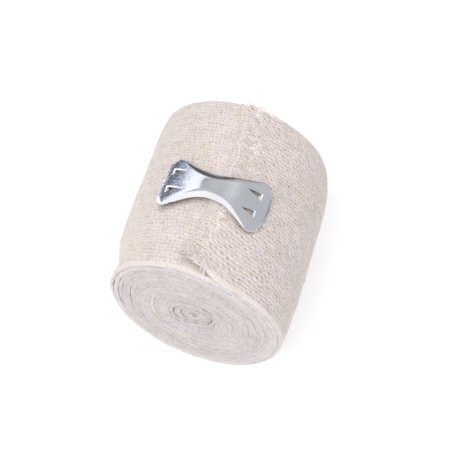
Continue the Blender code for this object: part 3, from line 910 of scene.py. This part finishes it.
def clip_place(along, across, height):
    """Lay points of the flat clip on its curve over the roll."""
    share = along / (CLIP_LENGTH / 2)
    arc, y = clip_on_roll(along, across + clip_bow(along))
    middle = (CLIP_LEFT_RADIUS + CLIP_RIGHT_RADIUS) / 2
    slope = (CLIP_RIGHT_RADIUS - CLIP_LEFT_RADIUS) / 2
    radius = middle + slope * share + CLIP_ARCH * (1 - share ** 2) + height
    angle = pi / 2 - arc / ARC_RADIUS
    x = radius * np.cos(angle)
    z = AXIS_Z + radius * np.sin(angle)
    return np.stack(np.broadcast_arrays(x, y, z), axis=-1)


def clip_half_width(along):
    """Half the width of the clip at places along it."""
    corner_start = CLIP_LENGTH / 2 - CLIP_CORNER - CLIP_END_BULGE
    distance = np.abs(along)
    reach = np.clip((distance - corner_start) / CLIP_CORNER, 0, 1)
    corner = CLIP_END_WIDTH / 2 - CLIP_CORNER * (1 - np.sqrt(1 - reach ** 2))
    share = (distance / corner_start) ** CLIP_WAIST_POWER
    return np.where(distance > corner_start, corner,
                    (CLIP_WAIST + (CLIP_END_WIDTH - CLIP_WAIST) * share) / 2)


def edge_drop(along, from_edge):
    """How far the rolled edge lies below the middle of the sheet."""
    share = smooth(np.abs(along) / (0.42 * CLIP_LENGTH))
    drop = EDGE_DROP_WAIST + (EDGE_DROP_END - EDGE_DROP_WAIST) * share
    width = EDGE_WIDTH * (1 - 0.5 * share)
    return drop * np.clip(1 - from_edge / width, 0, 1) ** 1.8


def stamped_dents(along, across):
    """Shallow unevenness of the stamped sheet, and the pull round each slot."""
    height = 0.035 * MM * ripple(along, across, 71, 4, 3)
    for high, low, point in SLOTS:
        middle_along = (high[0] + point[0]) / 2 * MM
        middle_across = (high[1] + low[1]) / 2 * MM
        height = height - 0.10 * MM * bell((along - middle_along) / (3.4 * MM),
                                           (across - middle_across) / (1.5 * MM))
    return height


def uneven_width(along, share):
    """How much wider or narrower the stamped outline is than an even one, on either edge."""
    left = smooth((-along - 7 * MM) / (6 * MM))
    far_corner = smooth((-along - 12.3 * MM) / (1.6 * MM))
    near_side = 0.16 * left + 0.09 * bell((along - 4.5 * MM) / (2.6 * MM))
    far_side = 0.06 * bell((along + 8.5 * MM) / (3 * MM)) + 0.20 * far_corner
    return 1 - near_side * smooth(-share * 1.3) + far_side * smooth(share * 1.3)


def build_clip_plate():
    """Bow-tie plate with rolled edges, as a run of closed sections along it."""
    reach = CLIP_LENGTH / 2 - CLIP_END_BULGE
    even = np.linspace(-1, 1, CLIP_STATIONS + 1)
    along = reach * (0.5 * even + 0.5 * np.sin(even * pi / 2))[:, None]
    half = clip_half_width(along * 0.9992)
    share = np.linspace(-1, 1, CLIP_COLUMNS)[None, :]
    share = np.sign(share) * np.abs(share) ** 0.8
    across = half * share * uneven_width(along, share)
    beside = half * (1 - np.abs(share))
    place = along + np.sign(along) * CLIP_END_BULGE * (1 - share ** 2) * smooth(6 * np.abs(along) / reach - 5)
    from_edge = np.minimum(beside, 1.2 * (reach - np.abs(along)) + 0.02 * MM)
    flatter = 1 - 0.65 * smooth((along - 1 * MM) / (5 * MM)) * (share > 0)
    rolled = smooth((-along - 2 * MM) / (5 * MM)) * (1 - smooth((-along - 12.6 * MM) / (1.5 * MM)))
    rolled = rolled * (share < 0) * np.clip(1 - beside / (1.7 * MM), 0, 1) ** 1.6
    mid = stamped_dents(place, across) - edge_drop(place, from_edge) * flatter - LEFT_EDGE_DROP * rolled
    thin = CLIP_THICKNESS / 2
    top = clip_place(place, across, mid + thin)
    low = clip_place(place, across, mid - thin)
    left, right = [], []
    for turn in (60, 30, 0, -30, -60):
        out = thin * cos(radians(turn)) * 0.8
        rise = thin * sin(radians(turn))
        right.append(clip_place(place[:, -1:], across[:, -1:] + out, mid[:, -1:] + rise))
        left.append(clip_place(place[:, :1], across[:, :1] - out, mid[:, :1] - rise))
    rings = np.concatenate([top] + right + [low[:, ::-1]] + left, axis=1)
    middle = 0.5 * (top + low)
    caps = []
    for end, outward in ((0, -1), (-1, 1)):
        for push, scale in ((0.55, 0.75), (0.8, 0.3)):
            centre = clip_place(place[end] + outward * thin * push, across[end], mid[end])
            ring = [centre + (top[end] - middle[end]) * scale]
            ring += [centre[-1:] + (part[end] - middle[end, -1:]) * scale for part in right]
            ring += [(centre + (low[end] - middle[end]) * scale)[::-1]]
            ring += [centre[:1] + (part[end] - middle[end, :1]) * scale for part in left]
            caps.append(np.concatenate(ring)[None])
    rings = np.concatenate([caps[1], caps[0], rings, caps[2], caps[3]])

    # Painted reflection: 1 paints the far edge and the right end dark, and -1 clears the near band of its
    # mottle so it stays bright
    painted_edge_reflection = np.zeros(rings.shape[:2])
    painted_edge_reflection[2:-2, :CLIP_COLUMNS] = -smooth((1.9 * MM - beside) / (0.7 * MM)) * (share < 0)
    painted_edge_reflection[:, CLIP_COLUMNS:CLIP_COLUMNS + len(right)] = 1
    painted_edge_reflection[-4:] = 1
    return tube_object("clip_plate", rings, painted_edge_reflection)


def inset_triangle(corners, insets):
    """A triangle with each side moved inward by its own distance."""
    middle = corners.mean(axis=0)
    normals, places = [], []
    for at in range(3):
        start, stop = corners[at], corners[(at + 1) % 3]
        normal = np.array([start[1] - stop[1], stop[0] - start[0]])
        normal = normal / np.linalg.norm(normal)
        normal = normal * np.sign(normal @ (middle - start))
        normals.append(normal)
        places.append(normal @ start + insets[at])
    return np.array([np.linalg.solve(np.array([normals[at - 1], normals[at]]),
                                     np.array([places[at - 1], places[at]])) for at in range(3)])


def slot_tool(name, corners, chamfers, bright):
    """Cutter for one slot, opening toward the upper face, with the cut sides listed that take the bright cut
    metal as a painted highlight.
    """
    rings = []
    for height, opened in ((-1.2, 0.0), (-0.2, 0.0), (0.2, 1.0), (0.7, 2.2)):
        triangle = inset_triangle(np.array(corners) * MM, np.array(chamfers) * MM * (1 - opened))
        outline = []
        for at in range(3):
            for other in (at - 1, (at + 1) % 3):
                toward = triangle[other] - triangle[at]
                outline.append(triangle[at] + toward / np.linalg.norm(toward) * SLOT_CORNER)
        outline = np.array(outline)
        rings.append(clip_place(outline[:, 0], outline[:, 1], height * MM))
    sides = len(outline)
    walls = sides * (len(rings) - 1)
    tool = tube_object(name, np.array(rings), np.zeros((len(rings), sides)))
    for number, face in enumerate(tool.data.polygons):
        face.material_index = 1 if number < walls and number % sides in bright else 0
    return tool


def tooth_rings(side, centre):
    """Sections of a tongue that bends down from the outer end of its slot."""
    steps = [(TOOTH_BEND * sin(turn), TOOTH_BEND * (1 - cos(turn)), turn)
             for turn in np.linspace(0, TOOTH_ANGLE, 7)]
    run, fall, _ = steps[-1]
    length = TOOTH_LENGTH - TOOTH_BEND
    for part in (0.3, 0.6, 0.85, 1.0):
        steps.append((run + length * part * cos(TOOTH_ANGLE), fall + length * part * sin(TOOTH_ANGLE),
                      TOOTH_ANGLE))
    rings = []
    for number, (inward, down, turn) in enumerate(steps):
        half = TOOTH_HALF * (1 - 0.83 * max(0, number - 6) / 4)
        ring = []
        for across, thick in ((-1, -1), (-1, 1), (1, 1), (1, -1)):
            along = TOOTH_START - inward + thick * TOOTH_HALF_THICK * sin(turn)
            height = -down + thick * TOOTH_HALF_THICK * cos(turn) - 0.02 * MM
            ring.append(clip_place(side * along, centre + across * half, height))
        rings.append(ring)
    return np.array(rings)


def cut_slot(plate, tool):
    """Cut a slot and keep the shape that this gives."""
    cut = plate.modifiers.new("slot", "BOOLEAN")
    cut.operation = "DIFFERENCE"
    cut.object = tool
    cut.solver = "EXACT"
    graph = bpy.context.evaluated_depsgraph_get()
    mesh = bpy.data.meshes.new_from_object(plate.evaluated_get(graph))
    plate.modifiers.clear()
    plate.data = mesh
    bpy.data.objects.remove(tool)


def join(item, others):
    """Merge other objects into one."""
    with bpy.context.temp_override(active_object=item, object=item,
                                   selected_editable_objects=[item] + others,
                                   selected_objects=[item] + others):
        bpy.ops.object.join()


def build_clip():
    """The plate with its slots cut and its four teeth bent into the cloth."""
    metal = metal_material()
    cut_highlight_metal = cut_highlight_material()
    plate = build_clip_plate()
    plate.data.materials.append(metal)
    plate.data.materials.append(cut_highlight_metal)
    teeth = []
    for number, (slot, chamfers) in enumerate(zip(SLOTS, SLOT_CHAMFERS), 1):
        side = 1 if slot[0][0] > 0 else -1
        # Slot sides that take the painted highlight of the bright cut metal
        bright = (0, 1, 2) if side > 0 else (0, 1, 2, 4, 5)
        tool = slot_tool(f"slot_cutter_{number}", slot, chamfers, bright)
        tool.data.materials.append(metal)
        tool.data.materials.append(cut_highlight_metal)
        cut_slot(plate, tool)
        rings = tooth_rings(side, (slot[0][1] + slot[1][1]) / 2 * MM)
        teeth.append(tube_object(f"tooth_{number}", rings, np.zeros(rings.shape[:2])))
        teeth[-1].data.materials.append(metal)
    join(plate, teeth)
    plate.data.set_sharp_from_angle(angle=radians(32))
    return plate


class Nodes:
    """Short way to build a material's nodes."""

    def __init__(self, name):
        self.material = bpy.data.materials.new(name)
        self.material.use_nodes = True
        self.tree = self.material.node_tree
        self.shader = self.tree.nodes["Principled BSDF"]

    def plug(self, socket, value):
        """Give a socket a number, a colour or the output of another node."""
        if isinstance(value, (float, int)):
            socket.default_value = value
        elif isinstance(value, tuple):
            socket.default_value = value + (1.0,)
        else:
            self.tree.links.new(value, socket)

    def finish_with(self, values):
        """Give the shader's sockets their values, and return the material."""
        for name, value in values.items():
            self.plug(self.shader.inputs[name], value)
        return self.material

    def add(self, kind, inputs=None, **settings):
        """A node with its settings and the fixed values of its inputs."""
        node = self.tree.nodes.new(kind)
        for key, value in (inputs or {}).items():
            node.inputs[key].default_value = value
        for key, value in settings.items():
            setattr(node, key, value)
        return node

    def attribute(self, name, output="Fac"):
        """A value that the mesh keeps."""
        return self.add("ShaderNodeAttribute", attribute_name=name).outputs[output]

    def place(self):
        """Place of each point in the frame's own axes."""
        return self.add("ShaderNodeTexCoord").outputs["Object"]

    def split(self, vector):
        """The three parts of a vector."""
        node = self.add("ShaderNodeSeparateXYZ")
        self.plug(node.inputs["Vector"], vector)
        return node.outputs

    def noise(self, scale, detail=3.0, stretch=None, roughness=0.5):
        """Noise over the object; scale is in waves a metre."""
        vector = self.place()
        if stretch is not None:
            mapping = self.add("ShaderNodeMapping", {"Scale": stretch})
            self.plug(mapping.inputs["Vector"], vector)
            vector = mapping.outputs["Vector"]
        node = self.add("ShaderNodeTexNoise", {"Scale": scale, "Detail": detail, "Roughness": roughness})
        self.plug(node.inputs["Vector"], vector)
        return node.outputs["Fac"]

    def ramp(self, value, *stops):
        """Colours along a value, each with its place."""
        node = self.add("ShaderNodeValToRGB")
        elements = node.color_ramp.elements
        while len(elements) < len(stops):
            elements.new(0.5)
        for element, (place, colour) in zip(elements, stops):
            element.position = place
            element.color = colour + (1.0,)
        self.plug(node.inputs["Fac"], value)
        return node.outputs["Color"]

    def spread(self, value, low, high, new_low, new_high):
        """Map a value from one range to another."""
        node = self.add("ShaderNodeMapRange", {"From Min": low, "From Max": high,
                                               "To Min": new_low, "To Max": new_high})
        self.plug(node.inputs["Value"], value)
        return node.outputs["Result"]

    def mix(self, kind, share, first, second):
        """Blend two colours; share is a number or a socket."""
        node = self.add("ShaderNodeMix", data_type="RGBA", blend_type=kind)
        for key, value in (("Factor", share), ("A", first), ("B", second)):
            self.plug([socket for socket in node.inputs if socket.name == key and socket.enabled][0], value)
        return [socket for socket in node.outputs if socket.enabled][0]

    def mottle(self, base, noise, low, high, share=1.0):
        """Shade a colour by a noise that runs between two places with their colours."""
        return self.mix("MULTIPLY", share, base, self.ramp(noise, low, high))

    def math(self, operation, first, second=0.0, third=0.0):
        """Arithmetic on numbers or sockets."""
        node = self.add("ShaderNodeMath", operation=operation)
        for socket, value in zip(node.inputs, (first, second, third)):
            self.plug(socket, value)
        return node.outputs["Value"]

    def times(self, first, *others):
        """Product of numbers or sockets."""
        for other in others:
            first = self.math("MULTIPLY", first, other)
        return first

    def bump(self, value, distance, strength=1.0, normal=None):
        """Bump from a height value."""
        node = self.add("ShaderNodeBump", {"Strength": strength, "Distance": distance})
        self.plug(node.inputs["Height"], value)
        if normal is not None:
            self.plug(node.inputs["Normal"], normal)
        return node.outputs["Normal"]


def weave_height(nodes):
    """Height of the weave, 0 in its pores and 1 on its yarns, and how strongly its gaps are painted with
    shade.
    """
    picks, ends, woven = nodes.split(nodes.attribute("threads", "Vector"))
    sunk = nodes.attribute("picks_sunk")
    slack = nodes.spread(sunk, 0.0, PICKS_SUNK, 0.0, 1.0)
    full_turn = nodes.times(picks, 2 * pi)
    sway = nodes.math("MULTIPLY_ADD", slack, SLACK_SWAY - SWAY, SWAY)
    beads = nodes.times(slack, nodes.times(nodes.math("COSINE", full_turn), SLACK_BEADS))
    lean = nodes.times(slack, nodes.times(nodes.math("SINE", full_turn), SLACK_LEAN))
    slant = nodes.times(slack, SLACK_SLANT)
    heights = []
    for along, across, rise, dome in ((picks, ends, sway, 0.55), (ends, picks, -0.40, 0.45)):
        thread = nodes.math("ROUND", across)
        offset = nodes.math("SUBTRACT", across, thread)
        place = nodes.math("ADD", along, thread)
        if rise is sway:
            offset = nodes.math("ADD", offset, lean)
            place = nodes.math("ADD", place, nodes.times(offset, slant))
        top = nodes.times(nodes.math("COSINE", nodes.times(offset, pi)), dome)
        heights.append(nodes.math("MULTIPLY_ADD", nodes.math("COSINE", nodes.times(place, pi)), rise, top))
    height = nodes.math("MAXIMUM", nodes.math("ADD", heights[0], beads),
                        nodes.math("SUBTRACT", heights[1], sunk))
    pair = nodes.math("COSINE", nodes.times(nodes.math("SUBTRACT", ends, 0.5), pi))
    pair = nodes.math("MULTIPLY_ADD", pair, nodes.spread(slack, 0.0, 1.0, 0.12, 0.0),
                      nodes.spread(slack, 0.0, 1.0, 0.90, 0.77))
    return height, nodes.times(pair, woven)


def cloth_material(name, colours, stain):
    """Cream cotton crepe: pores and gaps painted in a warm dark shade, soft yarns, fine fibres, and a stain
    in broad patches.
    """
    nodes = Nodes(name)
    pore, yarn_colour, top = colours
    # The relief attribute holds each point's colour level, with painted shade in it: low levels take the dark
    # pore colour
    level = nodes.spread(nodes.attribute("relief"), -0.9, 1.1, 0.0, 1.0)
    base = nodes.ramp(level, (0.0, pore), (0.42, yarn_colour), (0.85, top))
    base = nodes.mottle(base, nodes.noise(260, 2.0), (0.3, stain), (0.7, WHITE))
    base = nodes.mottle(base, nodes.noise(430), (0.37, (1.0, 0.985, 0.925)), (0.62, (0.975, 0.98, 1.0)))
    height, woven = weave_height(nodes)
    # Painted shade: the gaps of the weave are darkened toward the pore colour, by an uneven amount
    dark = nodes.math("POWER", nodes.spread(height, 0.72, -0.02, 0.0, 1.0), 1.35)
    uneven = nodes.spread(nodes.noise(1000, 1.0), 0.34, 0.66, 0.26, 0.80)
    base = nodes.mix("MIX", nodes.times(dark, woven, uneven), base, pore)
    base = nodes.mottle(base, nodes.noise(1500, 2.0), (0.36, (0.90, 0.895, 0.895)), (0.60, WHITE))
    base = nodes.mottle(base, nodes.noise(5200), (0.3, (0.90, 0.88, 0.86)), (0.65, WHITE), 0.8)
    normal = nodes.bump(nodes.times(height, woven), 0.10 * MM, 0.6)
    normal = nodes.bump(nodes.noise(14000, 2.0, (1.0, 0.35, 1.0)), 0.03 * MM, 0.6, normal)
    return nodes.finish_with({
        "Base Color": base,
        "Roughness": nodes.spread(nodes.noise(2600, 2.0), 0.3, 0.7, 0.82, 0.98),
        "Specular IOR Level": 0.18,
        "Sheen Weight": 0.28,
        "Sheen Roughness": 0.55,
        "Sheen Tint": (1.0, 0.98, 0.96),
        "Normal": nodes.bump(nodes.noise(3800, 2.0), 0.06 * MM, 0.7, normal),
    })


def metal_material():
    """Bright stamped aluminium sheet, scuffed, with a random mottle that turns to a painted dark reflection
    on the left, and a painted dark far edge and right end.
    """
    nodes = Nodes("stamped_aluminium")
    # The relief attribute holds a painted reflection: -1 keeps the near band bright, 1 paints the far edge
    # and right end dark
    edge = nodes.attribute("relief")
    # Painted dark reflection that grows toward the left end, where the sheet is also more pitted
    dark_reflection_and_pits = nodes.spread(nodes.split(nodes.place())["X"], -10 * MM, -5.5 * MM, 0.15, -0.06)
    dark_reflection_and_pits = nodes.math("ADD", dark_reflection_and_pits, nodes.spread(edge, -1.0, 0.0, -0.24, 0.0))
    mottle = nodes.math("SUBTRACT", nodes.noise(1500, 5.0, None, 0.75), dark_reflection_and_pits)
    tone = nodes.ramp(mottle, (0.29, (0.34, 0.37, 0.48)), (0.43, (0.93, 0.935, 0.96)))
    tone = nodes.mottle(tone, edge, (0.0, WHITE), (1.0, (0.36, 0.38, 0.44)))
    tone = nodes.mottle(tone, nodes.noise(160, 2.0), (0.35, (0.90, 0.91, 0.94)), (0.65, WHITE))
    normal = nodes.bump(nodes.noise(5000, 3.0, (0.25, 3.0, 1.0)), 0.002 * MM, 0.4)
    pits = nodes.times(nodes.noise(1700, 3.0, None, 0.6), nodes.spread(dark_reflection_and_pits, -0.06, 0.15, 0.12, 1.3))
    normal = nodes.bump(pits, 0.09 * MM, 0.5, normal)
    return nodes.finish_with({
        "Base Color": tone,
        "Metallic": 1.0,
        "Roughness": nodes.spread(nodes.noise(1400, 4.0, (0.4, 2.2, 1.0), 0.65), 0.35, 0.7, 0.11, 0.24),
        "Normal": nodes.bump(nodes.noise(420), 0.03 * MM, 0.5, normal),
    })


def cut_highlight_material():
    """Fresh cut metal, made bright as a painted highlight on the slot sides that catch the light."""
    nodes = Nodes("cut_aluminium_highlight")
    return nodes.finish_with({
        "Base Color": nodes.ramp(nodes.noise(1200), (0.35, (0.86, 0.87, 0.88)), (0.6, (0.97, 0.97, 0.97))),
        "Metallic": 0.35,
        "Roughness": nodes.spread(nodes.noise(2400), 0.3, 0.7, 0.35, 0.55),
        "Normal": nodes.bump(nodes.noise(3000), 0.01 * MM, 0.5),
    })


def paper_material():
    """Plain pale floor with the faintest tooth."""
    nodes = Nodes("studio_paper")
    return nodes.finish_with({
        "Base Color": nodes.ramp(nodes.noise(40, 2.0), (0.3, (0.79, 0.79, 0.795)), (0.7, (0.80, 0.80, 0.80))),
        "Emission Color": WHITE,
        "Emission Strength": 0.28,
        "Roughness": 0.9,
        "Specular IOR Level": 0.1,
    })


def make_glow(item, nodes, colour, unseen):
    """Make a piece shine with a colour, unseen by some kinds of rays."""
    nodes.tree.nodes.remove(nodes.shader)
    glow = nodes.add("ShaderNodeEmission")
    nodes.plug(glow.inputs["Color"], colour)
    nodes.plug(nodes.tree.nodes["Material Output"].inputs["Surface"], glow.outputs["Emission"])
    item.data.materials.append(nodes.material)
    for rays in unseen:
        setattr(item, "visible_" + rays, False)


def build_floor():
    """Plain pale floor with a pale backdrop all round, which only the camera sees."""
    bpy.ops.mesh.primitive_plane_add(size=4.0, location=(0, 0, -0.02 * MM))
    floor = bpy.context.object
    floor.name = "floor"
    floor.data.materials.append(paper_material())
    bpy.ops.mesh.primitive_uv_sphere_add(segments=48, ring_count=24, radius=0.75)
    backdrop = bpy.context.object
    backdrop.name = "backdrop"
    nodes = Nodes("backdrop_light")
    shade = nodes.ramp(nodes.noise(3, 1.0), (0.3, (0.93, 0.93, 0.935)), (0.7, (0.95, 0.95, 0.955)))
    make_glow(backdrop, nodes, shade, ("diffuse", "glossy", "shadow", "transmission"))


def studio_tone(azimuth, elevation):
    """Brightness and tint that the metal sees in a direction, in degrees.

    Azimuth 0 is the near end and 90 is the right.
    """
    if -80 < azimuth < 56:
        return 1.03, (1.0, 0.99, 0.99)
    overhead = elevation > 46 and azimuth < -80
    if azimuth > 0 or azimuth < -150 or overhead:
        behind = azimuth > 150 or azimuth < -140
        tone = 0.54 * (0.20 + 0.80 * np.clip((elevation - 20) / 24, 0, 1)) if behind else 0.54
        if overhead and azimuth > -160:
            tone = 0.28 + 0.28 * min(1.0, (elevation - 46) / 11)
        return tone + 0.22 * bell((azimuth - 162) / 16, (elevation - 57) / 6), (0.97, 0.985, 1.02)
    rise = np.clip((elevation + 8) / 36, 0, 1)
    return 0.20 + 0.98 * rise ** 1.1, (0.94 - 0.06 * (1 - rise), 0.955, 1.05 + 0.06 * (1 - rise))


def build_reflected_studio():
    """A shell round the roll, seen only in the clip: white in front, dim behind."""
    shell_radius = 170 * MM
    step = 2
    azimuths = np.arange(-180.0, 180, step)
    elevations = np.arange(-22.0, 90 + step, step)
    across = np.radians(azimuths)[None, :]
    up = np.radians(elevations)[:, None]
    corners = shell_radius * np.stack(np.broadcast_arrays(
        np.cos(up) * np.sin(across), -np.cos(up) * np.cos(across), np.sin(up)), axis=-1)
    corners[..., 2] += 2 * AXIS_Z
    quads, _ = ring_quads(len(elevations), len(azimuths))
    tones = []
    for elevation in elevations[:-1]:
        for azimuth in azimuths:
            tone, tint = studio_tone(azimuth + step / 2, elevation + step / 2)
            tones.append([tone * part for part in tint] + [1.0])
    mesh = bpy.data.meshes.new("reflected_studio")
    mesh.from_pydata(corners.reshape(-1, 3).tolist(), [], quads[:, ::-1].tolist())
    add_layer(mesh, "tone", "FLOAT_COLOR", "color", tones, "FACE")
    shell = put_in_scene("reflected_studio", mesh)
    nodes = Nodes("studio_light")
    make_glow(shell, nodes, nodes.attribute("tone", "Color"), ("camera", "diffuse", "shadow", "transmission"))


def add_light(name, azimuth, elevation, distance, size, power, colour=WHITE):
    """A square area light that looks at the roll."""
    lamp = bpy.data.lights.new(name, "AREA")
    lamp.size = size
    lamp.energy = power
    lamp.color = colour
    item = put_in_scene(name, lamp)
    across, up = radians(azimuth), radians(elevation)
    aim = Vector((0, 0, AXIS_Z))
    item.location = aim + distance * Vector((cos(up) * sin(across), -cos(up) * cos(across), sin(up)))
    item.rotation_euler = (aim - item.location).to_track_quat("-Z", "Y").to_euler()
    item.visible_glossy = False


def build_lights():
    """Soft light all round, with one large light from the upper left."""
    world = bpy.data.worlds.new("studio")
    bpy.context.scene.world = world
    world.use_nodes = True
    back = world.node_tree.nodes["Background"]
    back.inputs["Color"].default_value = (1.0, 1.0, 1.0, 1.0)
    back.inputs["Strength"].default_value = 0.62
    add_light("key", -38, 58, 0.55, 0.38, 2.5)
    add_light("fill", 92, 42, 0.60, 0.50, 1.4, (0.96, 0.98, 1.06))


def build_camera():
    """Camera at the photograph's angle."""
    azimuth, elevation = CAMERA_AZIMUTH, CAMERA_ELEVATION
    back = Vector((sin(azimuth) * cos(elevation), -cos(azimuth) * cos(elevation), sin(elevation)))
    right = Vector((cos(azimuth), sin(azimuth), 0))
    up = back.cross(right)
    lens = bpy.data.cameras.new("camera")
    lens.lens = CAMERA_LENS
    lens.sensor_width = 36
    lens.clip_start = 0.01
    camera = put_in_scene("camera", lens)
    camera.location = (Vector((0, 0, AXIS_Z)) + back * CAMERA_DISTANCE + right * CAMERA_ASIDE
                       + up * CAMERA_ABOVE)
    camera.rotation_euler = (-back).to_track_quat("-Z", "Y").to_euler()
    bpy.context.scene.camera = camera


crepe = cloth_material("cream_crepe", CREPE, STAIN)
edges = cloth_material("crepe_selvedges", SELVEDGE, SELVEDGE_STAIN)
loose_yarn = cloth_material("loose_yarn", LOOSE_YARN, STAIN)

outer_right = build_outer_turn("outer_turn_right", HEM_START / ARC_RADIUS, OUTER_SPLIT)
outer_left = build_outer_turn("outer_turn_left", OUTER_SPLIT, OUTER_END)
hem = build_hem()
windings = build_windings()
edge_threads = build_edge_threads()
rim_threads = build_rim_threads()
fibres = build_fuzz()
for piece, materials in ((outer_right, (crepe, edges)), (outer_left, (crepe, edges)), (hem, (crepe,)),
                         (windings, (edges,)), (edge_threads, (loose_yarn,)),
                         (rim_threads, (loose_yarn,)), (fibres, (loose_yarn,))):
    for material in materials:
        piece.data.materials.append(material)
    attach(piece, "root")
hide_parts("bandage_roll")

clip = build_clip()
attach(clip, "root")
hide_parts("clip")

build_floor()
build_reflected_studio()
build_lights()
build_camera()
bpy.context.scene.view_settings.view_transform = "Standard"
bpy.context.scene.view_settings.look = "None"
